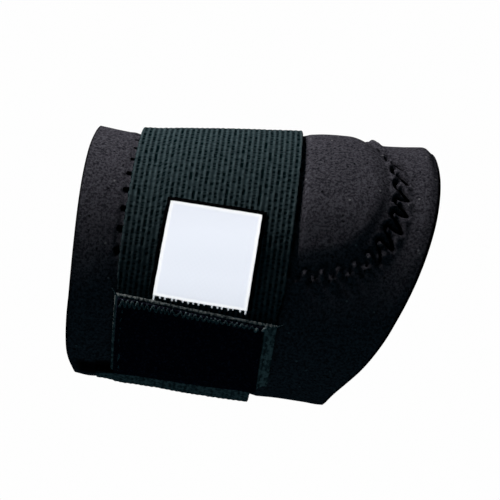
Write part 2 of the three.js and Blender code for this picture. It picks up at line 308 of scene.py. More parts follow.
@dataclass(frozen=True)
class WornForm:
    """The form that sleeve and strap take on the arm, in millimetres and degrees.

    x runs along the arm to the elbow. Angles go round it: 0 near side, 90 top, 180 far side.
    Pairs and spans are the places between which something sets in or ends.

    Attributes:
        top, under, swell: Heights of the sleeve's outlines and of the pad's swelling, by x.
        strap_middle, strap_width: The strap's middle line and width, by turn angle.
        wrist_reach, elbow_reach: How far the ends reach past their plain cuts, by angle.
        tight_turns, tight_edge: Where the strap's pressure ends sharply at its wrist edge.
        sink_depth: How much deeper that edge bites in underneath.
        swell_run_front, swell_run_top, swell_run_soft: Distances from the seam to the full swelling.
    """

    top: Curve = Curve((
        (-57.0, 42.4), (-50.0, 41.7), (-44.0, 41.5), (-16.0, 43.2), (13.0, 45.5), (26.0, 46.2),
        (40.0, 46.5), (48.0, 46.95), (54.0, 47.55), (58.0, 47.8),
    ))
    under: Curve = Curve((
        (-57.0, -43.9), (-51.0, -44.6), (-45.0, -44.1), (-38.0, -43.9), (-30.0, -44.1), (-16.0, -44.8),
        (5.0, -45.2), (15.0, -45.1), (24.0, -45.4), (30.0, -45.9), (58.0, -46.2),
    ))
    swell: Curve = Curve(
        ((-46.0, 0.1), (-38.0, 0.35), (-16.0, 1.6), (13.0, 1.75), (20.0, 2.2), (26.0, 2.3), (47.0, 2.4))
    )
    strap_middle: Curve = Curve((
        (-60.0, -15.6), (-20.0, -15.5), (0.0, -15.1), (50.0, -14.5), (90.0, -14.75), (150.0, -16.5),
        (220.0, -20.8), (262.0, -22.2), (285.0, -21.9), (310.0, -21.3),
    ))
    strap_width: Curve = Curve((
        (-60.0, 50.5), (-22.0, 52.0), (-6.0, 55.0), (10.0, 55.5), (50.0, 55.5), (90.0, 54.8),
        (180.0, 55.0), (250.0, 53.5), (290.0, 52.6), (310.0, 52.6),
    ))
    wrist_reach: Curve = Curve((
        (-90.0, 0.0), (-73.0, 0.4), (-65.0, 1.0), (-56.0, 1.7), (-46.0, 1.95), (-32.0, 1.8), (-20.0, 1.4),
        (0.0, 1.15), (30.0, 1.05), (50.0, 0.7), (68.0, 0.0), (82.0, -0.5), (95.0, -0.3), (130.0, 0.0),
        (270.0, 0.0),
    ))
    elbow_reach: Curve = Curve((
        (-90.0, 0.5), (-76.0, -0.2), (-66.0, -0.8), (-59.0, -0.9), (-52.0, -0.5), (-41.0, 0.5),
        (-32.0, 0.75), (-24.0, 0.75), (-15.0, 0.5), (10.0, 0.45), (30.0, 0.65), (50.0, 0.6), (70.0, 0.15),
        (90.0, 0.0), (180.0, 0.0), (270.0, 0.5),
    ))
    seam: SeamLoop = PAD_SEAM
    depth_to_height: float = 0.94
    strap_radius: float = 46.0
    strap_turn: float = 150.0
    press_depth: float = 0.5
    press_margin: float = 0.4
    press_fade: float = 3.0
    tight_turns: Span = (232.0, 255.0, 300.0, 320.0)
    tight_edge: Pair = (-0.3, 0.4)
    sink_depth: float = 1.5
    sink_turns: Span = (232.0, 255.0, 286.0, 299.0)
    sink_across: Pair = (-27.0, -16.0)
    swell_start: float = -1.5
    belly: float = 1.2
    belly_angle: float = 26.0
    belly_half: float = 17.0
    swell_run_front: float = 9.5
    swell_run_top: float = 7.5
    swell_run_soft: float = 14.0
    run_angles: Pair = (20.0, 75.0)
    wrist_x: float = -56.8
    wrist_lean: float = -0.8
    elbow_x: float = 48.9
    elbow_rise: float = 14.3
    elbow_swing: float = 4.6

    def place(self, x: Floats, angle: Floats, lift: Floats) -> Array:
        """Points on an oval round the arm's axis, pushed out by lift.

        Args:
            x: Distances along the arm.
            angle: Angles round it.
            lift: Distances out from the plain sleeve's outer face.

        Returns:
            Points in metres, in the shape of the inputs with a last axis of 3.
        """
        x, angle, lift = np.broadcast_arrays(x, angle, lift)
        top = self.top(x)
        under = self.under(x)
        half = (top - under) / 2.0
        turn = np.radians(angle)
        y = -(half * self.depth_to_height + lift) * np.cos(turn)
        z = (top + under) / 2.0 + (half + lift) * np.sin(turn)
        return np.stack([x, y, z], axis=-1) * MM

    def normal(self, x: Array, angle: Array) -> Array:
        """Directions straight out from the arm."""
        return unit(self.place(x, angle, 1.0) - self.place(x, angle, 0.0))

    def across_strap(self, x: Array, angle: Array) -> Triple:
        """A spot's place by the strap.

        Args:
            x: Distances along the arm.
            angle: Angles round it.

        Returns:
            Turn angles, distances from the strap's middle line, and distances outside its edge.
        """
        turn = within_turn(angle, self.strap_turn)
        across = x - self.strap_middle(turn)
        return turn, across, np.abs(across) - self.strap_width(turn) / 2.0

    def cover(self, x: Array, angle: Array) -> Array:
        """How much of the strap's pressure reaches a spot: 1 under it, fading beside it."""
        beside = self.across_strap(x, angle)[2]
        return 1.0 - smooth(self.press_margin, self.press_margin + self.press_fade, beside)

    def sink(self, turn: Array, across: Array) -> Array:
        """How far the strap's wrist edge bites into the sleeve on the underside."""
        return self.sink_depth * window(self.sink_turns, turn) * (1.0 - smooth(*self.sink_across, across))

    def pressed(self, x: Array, angle: Array) -> Array:
        """Depth that the strap presses into the sleeve at a spot."""
        turn, across, beside = self.across_strap(x, angle)
        below = window(self.tight_turns, turn) * (across < 0.0)
        tight = 1.0 - smooth(*self.tight_edge, beside)
        press = mix(self.cover(x, angle), tight, below)
        return self.press_depth * press + self.sink(turn, across) * tight

    def soft_swell(self, x: Array, inside: Array) -> Array:
        """The pad's swelling where cloth lies smoothly over it."""
        return self.swell(x) * smooth(self.swell_start, self.swell_run_soft, inside)

    def pressed_face(self, x: Array, angle: Array) -> Array:
        """Lift of the sleeve's outer face where the strap lies on it."""
        return self.soft_swell(x, self.seam.nearest(x, angle)[0]) - self.press_depth

    def bare_swell(self, x: Array, angle: Array, inside: Array) -> Array:
        """The pad's swelling in the bare sleeve: a belly in front, steeper at the seam on top."""
        turn = within_turn(angle, self.seam.middle)
        run = mix(self.swell_run_front, self.swell_run_top, smooth(*self.run_angles, turn))
        belly = self.belly * bell(turn - self.belly_angle, self.belly_half)
        return (self.swell(x) + belly) * smooth(self.swell_start, run, inside)

    def elbow_edge(self, angle: Array) -> Array:
        """Where the elbow end is cut: a swept curve, longest on top and shortest below."""
        turn = np.radians(angle)
        sweep = self.elbow_rise * np.sin(turn) + self.elbow_swing * np.cos(2.0 * turn)
        return self.elbow_x + sweep + self.elbow_reach(self.from_below(angle))

    def wrist_edge(self, angle: Array) -> Array:
        """Where the wrist end is cut: nearly square to the arm, longest low on the near side."""
        lean = self.wrist_lean * np.sin(np.radians(angle))
        return self.wrist_x + lean - self.wrist_reach(self.from_below(angle))

    def from_below(self, angle: Array) -> Array:
        """The angle within the turn that starts underneath, from -90 to 270."""
        return within_turn(angle, 90.0)


FORM = WornForm()


# Meshes


def put(name: str, data: Any) -> Object:
    """Makes an object of a mesh, a light or a camera and links it to the scene."""
    made = bpy.data.objects.new(name, data)
    bpy.context.scene.collection.objects.link(made)
    return made


@dataclass
class Skin:
    """A closed surface made of a stack of rings with the same number of points each.

    Attributes:
        points: (rings, count, 3) points in metres.
        joined: True if the last ring joins the first, False if both ends are capped.
        uv: (rings, count + 1, 2) surface distances; the extra column closes each ring.
        marks: Named (rings, count) values kept on the points for the finish.
    """

    points: Array
    joined: bool
    uv: Array
    marks: dict[str, Array] = field(default_factory=dict)

    def faces(self) -> Triple:
        """Quads between neighbouring rings, then a fan of triangles on each capped end.

        Returns:
            Point numbers of the quads and of the triangles, and their UV pairs in that order.
        """
        rings, count = self.points.shape[:2]
        index = closed_columns(np.arange(rings * count).reshape(rings, count))
        uv = self.uv
        if self.joined:
            index = np.concatenate([index, index[:1]])
            uv = np.concatenate([uv, uv[:1]])
        quads = corners(index).reshape(-1, 4)
        quad_uv = corners(uv).reshape(-1, 2)
        if self.joined:
            return quads, np.empty((0, 3), dtype=int), quad_uv
        pole = np.full(count, rings * count)
        first = np.stack([pole, index[0, 1:], index[0, :-1]], axis=1)
        last = np.stack([pole + 1, index[-1, :-1], index[-1, 1:]], axis=1)
        middle = uv.mean(axis=1)
        first_uv = np.stack([np.tile(middle[0], (count, 1)), uv[0, 1:], uv[0, :-1]], axis=1)
        last_uv = np.stack([np.tile(middle[-1], (count, 1)), uv[-1, :-1], uv[-1, 1:]], axis=1)
        fan_uv = np.concatenate([first_uv, last_uv]).reshape(-1, 2)
        return quads, np.concatenate([first, last]), np.concatenate([quad_uv, fan_uv])

    def listed(self, values: Array) -> Array:
        """Values in the order of the points, then their means at the ends that are capped."""
        rows = values.reshape(-1, *values.shape[2:])
        return rows if self.joined else np.concatenate([rows, values[[0, -1]].mean(axis=1)])

    def build(self, name: str) -> Object:
        """Makes the mesh object, with its faces turned outwards.

        Args:
            name: The object's name.

        Returns:
            The object, linked to the scene at the origin.
        """
        points = self.listed(self.points)
        quads, fans, uv = self.faces()
        mesh = bpy.data.meshes.new(name)
        mesh.from_pydata(points.tolist(), [], quads.tolist() + fans.tolist())
        mesh.uv_layers.new(name="cloth").data.foreach_set("uv", uv.astype(np.float32).ravel())
        for key, mark in self.marks.items():
            attribute = mesh.attributes.new(key, "FLOAT", "POINT")
            attribute.data.foreach_set("value", self.listed(mark).astype(np.float32))
        a, b, c, d = (points[quads[:, k]] for k in range(4))
        volume = (a * (np.cross(b, c) + np.cross(c, d))).sum() / 6.0
        if volume < 0.0:
            mesh.flip_normals()
        mesh.polygons.foreach_set("use_smooth", np.ones(len(mesh.polygons), dtype=bool))
        mesh.update()
        return put(name, mesh)


@dataclass(frozen=True)
class StripSection:
    """The section of a flat strip: outer face, rounded edge, inner face, rounded edge.

    Attributes:
        thickness: Height of the strip, in millimetres.
        outer, inner, edge: Points along each face and round each edge.
    """

    thickness: float
    outer: int
    inner: int
    edge: int = 5

    @property
    def shares(self) -> Array:
        """Places across the flat part, from -1 to 1, once round the section."""
        out = np.linspace(-1.0, 1.0, self.outer)
        back = np.linspace(1.0, -1.0, self.inner)
        return np.concatenate([out, np.ones(self.edge), back, -np.ones(self.edge)])

    @property
    def turns(self) -> Array:
        """Angles of the points round an edge, from the outer to the inner face."""
        return np.linspace(np.pi / 2.0, -np.pi / 2.0, self.edge + 2)[1:-1]

    @property
    def bulge(self) -> Array:
        """How far each point stands out past the flat part, as a share of the rounding."""
        out = np.cos(self.turns)
        return np.concatenate([np.zeros(self.outer), out, np.zeros(self.inner), -out])

    def loft(self, relief: Array, kept: Array) -> Array:
        """Heights of all rings over the strip's foot.

        Args:
            relief: Heights added on the outer face.
            kept: Share of the thickness that each ring keeps, about the strip's middle.

        Returns:
            Heights in millimetres, (rings, points).
        """
        fall = 0.5 + 0.5 * np.sin(self.turns)
        level = np.concatenate([np.ones(self.outer), fall, np.zeros(self.inner), fall[::-1]])
        on_outer = np.arange(len(level)) < self.outer
        middle = 0.5 * self.thickness
        return middle + (self.thickness * level - middle + relief * on_outer) * kept[:, None]


def end_rounding(length: float, rings: int, radius: float) -> tuple[Array, Array]:
    """Places along a strip, crowded at both ends, and how far its thickness is kept there.

    Args:
        length: The strip's length.
        rings: Rings between the rounded ends.
        radius: How far from each end the rounding reaches.

    Returns:
        Shares of the length from 0 to 1, and factors that fall as a quarter circle at the ends.
    """
    near = radius * (1.0 - np.cos(np.linspace(0.0, np.pi / 2.0, END_STEPS, endpoint=False)))
    body = np.linspace(radius, length - radius, rings)
    places = np.concatenate([near, body, (length - near)[::-1]])
    reach = np.clip(np.minimum(places, length - places) / radius, 0.0, 1.0)
    kept = np.sqrt(np.clip(1.0 - (1.0 - reach) ** 2, THINNEST, 1.0))
    return places / length, kept


def blunt(reach: Array) -> Array:
    """Share of a short stitch's thickness, from -1 to 1 along it: root of 1 minus the fourth power."""
    return np.sqrt(np.clip(1.0 - reach**4, BLUNT_END, 1.0))


def thread(path: Array, out: Array, radius: Floats, joined: bool = False, sides: int = 8) -> Skin:
    """A round thread: a circle carried along a path.

    Args:
        path: (n, 3) points in metres.
        out: (n, 3) directions out of the cloth, which keep the circle from twisting.
        radius: The thread's radius in millimetres, one or one for each point.
        joined: True if the path closes on itself.
        sides: Points round the circle.

    Returns:
        The thread's surface, with turns round it and millimetres along it as UV.
    """
    if joined:
        tangent = unit(np.roll(path, -1, axis=0) - np.roll(path, 1, axis=0))
    else:
        tangent = unit(np.gradient(path, axis=0))
    across = unit(np.cross(tangent, out))[:, None, :]
    up = np.cross(across, tangent[:, None, :])
    turn = np.linspace(0.0, 2.0 * np.pi, sides, endpoint=False)[None, :, None]
    reach = np.broadcast_to(np.asarray(radius, dtype=float), (len(path),))[:, None, None] * MM
    points = path[:, None, :] + reach * (np.cos(turn) * up + np.sin(turn) * across)
    steps = np.linalg.norm(np.diff(path, axis=0), axis=1) / MM
    along = np.concatenate([[0.0], np.cumsum(steps)])
    u, v = np.meshgrid(np.arange(sides + 1) / sides, along)
    return Skin(points, joined, np.stack([u, v], axis=-1))


# Shader maths

Value = Union["Signal", float]


@dataclass
class Signal:
    """A node's output socket; operators on it add Math nodes."""

    paint: "Paint"
    socket: bpy.types.NodeSocket

    def math(self, operation: str, *inputs: Value) -> "Signal":
        """Adds one Math node, fed with the given inputs or else with this signal alone."""
        sockets = dict(enumerate(inputs or (self,)))
        return self.paint.node("ShaderNodeMath", {"operation": operation}, sockets)

    def __add__(self, other: Value) -> "Signal":
        """Sum."""
        return self.math("ADD", self, other)

    def __sub__(self, other: Value) -> "Signal":
        """Difference."""
        return self.math("SUBTRACT", self, other)

    def __rsub__(self, other: Value) -> "Signal":
        """Difference from a plain number."""
        return self.math("SUBTRACT", other, self)

    def __mul__(self, other: Value) -> "Signal":
        """Product."""
        return self.math("MULTIPLY", self, other)

    def __truediv__(self, other: Value) -> "Signal":
        """Quotient."""
        return self.math("DIVIDE", self, other)

    def wave(self, period: float) -> "Signal":
        """Cosine of this distance, from 0 to 1, with the given period."""
        return (self * (2.0 * math.pi / period)).math("COSINE") * 0.5 + 0.5

    def ease(self, low: float, high: float) -> "Signal":
        """Smooth step from 0 at low to 1 at high."""
        sockets = {"Value": self, "From Min": low, "From Max": high}
        return self.paint.node("ShaderNodeMapRange", {"interpolation_type": "SMOOTHSTEP"}, sockets)


class Paint:
    """One material and the methods that add nodes to it."""

    def __init__(self, name: str) -> None:
        """Starts a material with an empty Principled shader."""
        self.material = bpy.data.materials.new(name)
        self.material.use_nodes = True
        self.tree = self.material.node_tree
        self.shader = next(n for n in self.tree.nodes if n.type == "BSDF_PRINCIPLED")

    def node(
        self,
        kind: str,
        settings: Optional[dict[str, Any]] = None,
        sockets: Optional[dict[Union[str, int], Any]] = None,
        output: Union[str, int] = 0,
    ) -> Signal:
        """Adds a node.

        Args:
            kind: The node's type.
            settings: Properties of the node, set first.
            sockets: Values or signals for its inputs, by name or number.
            output: The output to hand back.

        Returns:
            That output.
        """
        made = self.tree.nodes.new(kind)
        for key, value in (settings or {}).items():
            setattr(made, key, value)
        for key, value in (sockets or {}).items():
            self.feed(made.inputs[key], value)
        return Signal(self, made.outputs[output])

    def feed(self, socket: bpy.types.NodeSocket, value: Any) -> None:
        """Links a signal to a socket, or sets a plain value on it."""
        if isinstance(value, Signal):
            self.tree.links.new(value.socket, socket)
        elif isinstance(value, tuple) and socket.type == "RGBA":
            socket.default_value = (*value, 1.0)
        else:
            socket.default_value = value

    def blend(self, low: Any, high: Any, factor: Value) -> Signal:
        """Mixes two colours."""
        settings = {"data_type": "RGBA", "clamp_factor": True}
        return self.node("ShaderNodeMix", settings, {0: factor, 6: low, 7: high}, 2)

    def object_place(self) -> Signal:
        """Object coordinates, in metres."""
        return self.node("ShaderNodeTexCoord", output="Object")

    def cloth_place(self) -> tuple[Signal, Signal]:
        """The piece's own surface distances, across and along."""
        uv = self.node("ShaderNodeUVMap", {"uv_map": "cloth"})
        across = self.node("ShaderNodeSeparateXYZ", None, {0: uv}, "X")
        return across, Signal(self, across.socket.node.outputs["Y"])

    def mark(self, name: str) -> Signal:
        """A value kept on the mesh's points."""
        return self.node("ShaderNodeAttribute", {"attribute_name": name}, None, "Fac")

    def noise(self, place: Signal, scale: float, detail: float = 1.0, rough: float = 0.5) -> Signal:
        """Noise from 0 to 1 at a scale in features for each unit of place."""
        sockets = {"Vector": place, "Scale": scale, "Detail": detail, "Roughness": rough}
        return self.node("ShaderNodeTexNoise", {"noise_dimensions": "3D"}, sockets)

    def pair(self, u: Value, v: Value) -> Signal:
        """A place made of two distances."""
        return self.node("ShaderNodeCombineXYZ", None, {"X": u, "Y": v})

    def cells(self, place: Signal, scale: float) -> Signal:
        """Distance to the nearest of scattered spots."""
        sockets = {"Vector": place, "Scale": scale, "Randomness": 1.0}
        return self.node("ShaderNodeTexVoronoi", {"feature": "F1"}, sockets, "Distance")

    def bump(self, height: Signal, depth: float, strength: float = 1.0) -> Signal:
        """Normal of a surface raised by a height signal, where 1 stands for depth in metres."""
        sockets = {"Height": height, "Distance": depth, "Strength": strength}
        return self.node("ShaderNodeBump", None, sockets)

    def finish(
        self,
        tone: Signal,
        rough: Signal,
        normal: Signal,
        specular: float = 0.0,
        sheen: float = 0.0,
        sheen_rough: float = 0.5,
    ) -> Material:
        """Feeds the shader.

        Args:
            tone, rough, normal: Base colour, roughness and bumped normal.
            specular: Level of the plain reflection.
            sheen, sheen_rough: Weight and roughness of the sheen.

        Returns:
            The finished material.
        """
        inputs = {
            "Base Color": tone,
            "Roughness": rough,
            "Normal": normal,
            "Specular IOR Level": specular,
            "Sheen Weight": sheen,
            "Sheen Roughness": sheen_rough,
        }
        for key, value in inputs.items():
            self.feed(self.shader.inputs[key], value)
        return self.material


@dataclass(frozen=True)
class NeopreneFinish:
    """Jersey-faced neoprene: mottled knit, dark flecks, pale lint, a dull black cut edge, and painted shade
    and shadow by marks.
    """

    name: str = "neoprene_jersey"
    light: Colour = (0.082, 0.078, 0.092)
    dark: Colour = (0.020, 0.019, 0.024)
    core_and_shadow: Colour = (0.0003, 0.0003, 0.0005)
    lint: Colour = (0.22, 0.215, 0.225)
    mottle_scale: float = 1150.0
    knit_scale: float = 2400.0
    fleck_scale: float = 270.0
    lint_scale: float = 190.0
    mottle_span: Pair = (0.34, 0.66)
    fleck_span: Pair = (0.07, 0.15)
    lint_span: Pair = (0.05, 0.10)
    depth: float = 0.0004

    def material(self) -> Material:
        """Two noises mottle the face and spots are scattered on it; marks blacken the cut edges, add painted
        contact shadow along the outer face's edges, and paint shade in the seam's furrows, beside the strap
        and below the lap.

        Returns:
            The material.
        """
        paint = Paint(self.name)
        place = paint.object_place()
        mottle = paint.noise(place, self.mottle_scale)
        knit = paint.noise(place, self.knit_scale)
        flecks = paint.cells(place, self.fleck_scale)
        lint = paint.cells(place, self.lint_scale)
        tone = paint.blend(self.dark, self.light, (mottle * 0.6 + knit * 0.4).ease(*self.mottle_span))
        tone = paint.blend(tone, self.core_and_shadow, (1.0 - flecks.ease(*self.fleck_span)) * 0.8)
        tone = paint.blend(tone, self.lint, (1.0 - lint.ease(*self.lint_span)) * 0.7)
        # Blackens the cut core, and paints shadow and shade where the marks say.
        for mark in ("core_and_shadow", "shade"):
            tone = paint.blend(tone, self.core_and_shadow, paint.mark(mark))
        height = mottle * 0.7 + knit * 0.5
        return paint.finish(tone, knit * 0.12 + 0.84, paint.bump(height, self.depth, 0.7))


@dataclass(frozen=True)
class NapFinish:
    """Brushed cloth: noise between two dark tones.

    Attributes:
        detail, rough: Layers of finer noise, and their strength.
        span: Noise values over which dark turns to light.
        depth: Depth of the nap in metres.
    """

    name: str
    light: Colour
    dark: Colour
    scale: float
    detail: float
    rough: float
    span: Pair
    depth: float
    specular: float = 0.0
    sheen: float = 0.0

    def material(self) -> Material:
        """One noise gives the tone, the roughness and the bump.

        Returns:
            The material.
        """
        paint = Paint(self.name)
        nap = paint.noise(paint.object_place(), self.scale, self.detail, self.rough)
        tone = paint.blend(self.dark, self.light, nap.ease(*self.span))
        return paint.finish(tone, nap * 0.1 + 0.85, paint.bump(nap, self.depth), self.specular, self.sheen)


@dataclass(frozen=True)
class ElasticFinish:
    """Ribbed elastic: pale yarn on the ribs, darker gaps, loose dark holes in the gaps, and a marked pale
    colour that is selvage yarn on edges and painted light elsewhere.
    """

    name: str = "elastic_rib"
    crest: Colour = (0.066, 0.094, 0.101)
    valley: Colour = (0.010, 0.019, 0.022)
    hole: Colour = (0.0010, 0.0055, 0.0065)
    selvage_and_painted_light: Colour = (0.19, 0.22, 0.22)
    rib_pitch: float = 1.8
    hole_scale: float = 1.0
    bead_scale: float = 0.85
    edge_pitch: float = 1.3
    stray_scale: float = 420.0
    fuzz_scale: float = 1300.0
    blotch_scale: float = 700.0
    hole_span: Pair = (0.48, 0.58)
    gap_span: Pair = (0.25, 0.65)
    bead_span: Pair = (0.25, 0.7)
    blotch_span: Pair = (0.44, 0.60)
    depth: float = 0.0003

    def material(self) -> Material:
        """Rib wave across the strap, yarn beads along each rib, and holes scattered along the gaps.

        Returns:
            The material.
        """
        paint = Paint(self.name)
        across, along = paint.cloth_place()
        place = paint.object_place()
        ribs = across + (paint.noise(place, self.stray_scale) - 0.5) * 0.5
        wave = ribs.wave(self.rib_pitch)
        gap = (ribs / self.rib_pitch).math("FLOOR")
        hole = paint.noise(paint.pair(gap * 7.3, along), self.hole_scale, 0.0).ease(*self.hole_span)
        hole = hole * (1.0 - wave.ease(*self.gap_span))
        rib = (ribs / self.rib_pitch + 0.5).math("FLOOR")
        bead = paint.noise(paint.pair(rib * 5.7, along), self.bead_scale).ease(*self.bead_span)
        fuzz = paint.noise(place, self.fuzz_scale)
        light = (wave * 0.7 + 0.15) * (bead * 0.6 + 0.4) * (fuzz + 0.5)
        tone = paint.blend(self.valley, self.crest, light)
        # The marked pale colour: selvage yarn along edges, painted rim light on the strip below the lap, and
        # a painted highlight on the lap's upper edge.
        edging = paint.mark("selvage_and_painted_light")
        blotch = paint.noise(place, self.blotch_scale).ease(*self.blotch_span)
        streaks = across.wave(self.edge_pitch) * 0.25 + blotch * 0.75
        tone = paint.blend(tone, self.selvage_and_painted_light, edging * (streaks + fuzz * 0.2))
        tone = paint.blend(tone, self.hole, hole * (1.0 - edging))
        height = bead * wave * 0.5 + fuzz * 0.4 - hole
        return paint.finish(tone, fuzz * 0.15 + 0.72, paint.bump(height, self.depth, 0.8))


@dataclass(frozen=True)
class PileFinish:
    """Brushed black loop pile."""

    name: str = "loop_pile"
    face: Colour = (0.030, 0.030, 0.056)
    deep: Colour = (0.007, 0.0065, 0.015)
    loop_scale: float = 1100.0
    nap_scale: float = 420.0
    loop_span: Pair = (0.1, 0.6)
    nap_span: Pair = (0.35, 0.65)
    depth: float = 0.0005

    def material(self) -> Material:
        """Scattered loops over a deep ground.

        Returns:
            The material.
        """
        paint = Paint(self.name)
        place = paint.object_place()
        loops = paint.cells(place, self.loop_scale)
        nap = paint.noise(place, self.nap_scale, 3.0, 0.6)
        light = (1.0 - loops.ease(*self.loop_span)) * nap.ease(*self.nap_span)
        tone = paint.blend(self.deep, self.face, light)
        normal = paint.bump(nap * 0.8 - loops * 0.6, self.depth)
        return paint.finish(tone, nap * 0.1 + 0.88, normal, sheen=0.01, sheen_rough=0.4)


@dataclass(frozen=True)
class LabelFinish:
    """Smooth white woven label, with a painted highlight along its rim."""

    name: str = "label_weave"
    face: Colour = (0.775, 0.80, 0.87)
    shade: Colour = (0.72, 0.75, 0.82)
    # Painted highlight colour along the rim.
    rim: Colour = (0.93, 0.93, 0.94)
    pitch: float = 0.42
    depth: float = 0.00005

    def material(self) -> Material:
        """Fine square weave over the face, and a painted highlight colour on the rim where the mesh marks it.

        Returns:
            The material.
        """
        paint = Paint(self.name)
        across, along = paint.cloth_place()
        weave = across.wave(self.pitch) * along.wave(self.pitch)
        tone = paint.blend(self.face, self.shade, weave * 0.16)
        tone = paint.blend(tone, self.rim, paint.mark("rim"))
        return paint.finish(tone, weave * 0.1 + 0.6, paint.bump(weave, self.depth, 0.5), specular=0.10)


@dataclass(frozen=True)
class ThreadFinish:
    """Twisted sewing thread."""

    name: str
    light: Colour
    dark: Colour
    twist: float = 0.9
    depth: float = 0.00012

    def material(self) -> Material:
        """Slanting twist lines: a wave of turns round the thread plus millimetres along it.

        Returns:
            The material.
        """
        paint = Paint(self.name)
        around, along = paint.cloth_place()
        ply = (around * 2.0 + along / self.twist).wave(1.0)
        tone = paint.blend(self.dark, self.light, ply)
        return paint.finish(tone, ply * 0.1 + 0.7, paint.bump(ply, self.depth, 0.7))


PAD_CLOTH = NapFinish(
    "pad_cloth", (0.030, 0.029, 0.034), (0.012, 0.012, 0.014), scale=700.0, detail=3.0, rough=0.6,
    span=(0.3, 0.7), depth=0.0004, specular=0.1, sheen=0.1,
)
# Dark cloth of the label's backing, partly painted shadow round the label.
LABEL_EDGING_AND_SHADOW = NapFinish(
    "label_edging_and_shadow", (0.004, 0.0035, 0.004), (0.0008, 0.0007, 0.0008), scale=1500.0, detail=1.0,
    rough=0.5, span=(0.4, 0.7), depth=0.0002,
)
BLACK_THREAD = ThreadFinish("black_thread", (0.0005, 0.0005, 0.0007), (0.0001, 0.0001, 0.0002))
GREEN_THREAD = ThreadFinish("green_thread", (0.12, 0.165, 0.17), (0.045, 0.07, 0.075))
PALE_THREAD = ThreadFinish("pale_thread", (0.30, 0.37, 0.37), (0.14, 0.18, 0.185))
WHITE_THREAD = ThreadFinish("white_thread", (0.80, 0.84, 0.88), (0.55, 0.58, 0.62))


def dress(piece: Object, material: Material, slot: Slot, nodes: tuple[str, ...] = ()) -> Object:
    """Gives a piece its material and ties it to the frame.

    Args:
        piece: The piece.
        material: Its material.
        slot: The record's slot that the finish belongs to; not used.
        nodes: CAD nodes that the piece stands for.

    Returns:
        The piece.
    """
    piece.data.materials.append(material)
    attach(piece, BODY)
    if nodes:
        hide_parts(*nodes)
    LOG.info("%s: %d faces", piece.name, len(piece.data.polygons))
    return piece


# The pieces


@dataclass(frozen=True)
class StitchStep:
    """A point on the way of one stitch.

    Attributes:
        share: Share of the thread's way from one stitch to the next.
        advance: Share of the distance to the next stitch passed.
        inward: Distance in from the seam's middle line, in widths.
        height: Height of the thread's middle over the cloth.
        arm: 1 on the arm that runs back out, which sinks into the cloth towards the top.
    """

    share: float
    advance: float
    inward: float
    height: float
    arm: float = 0.0


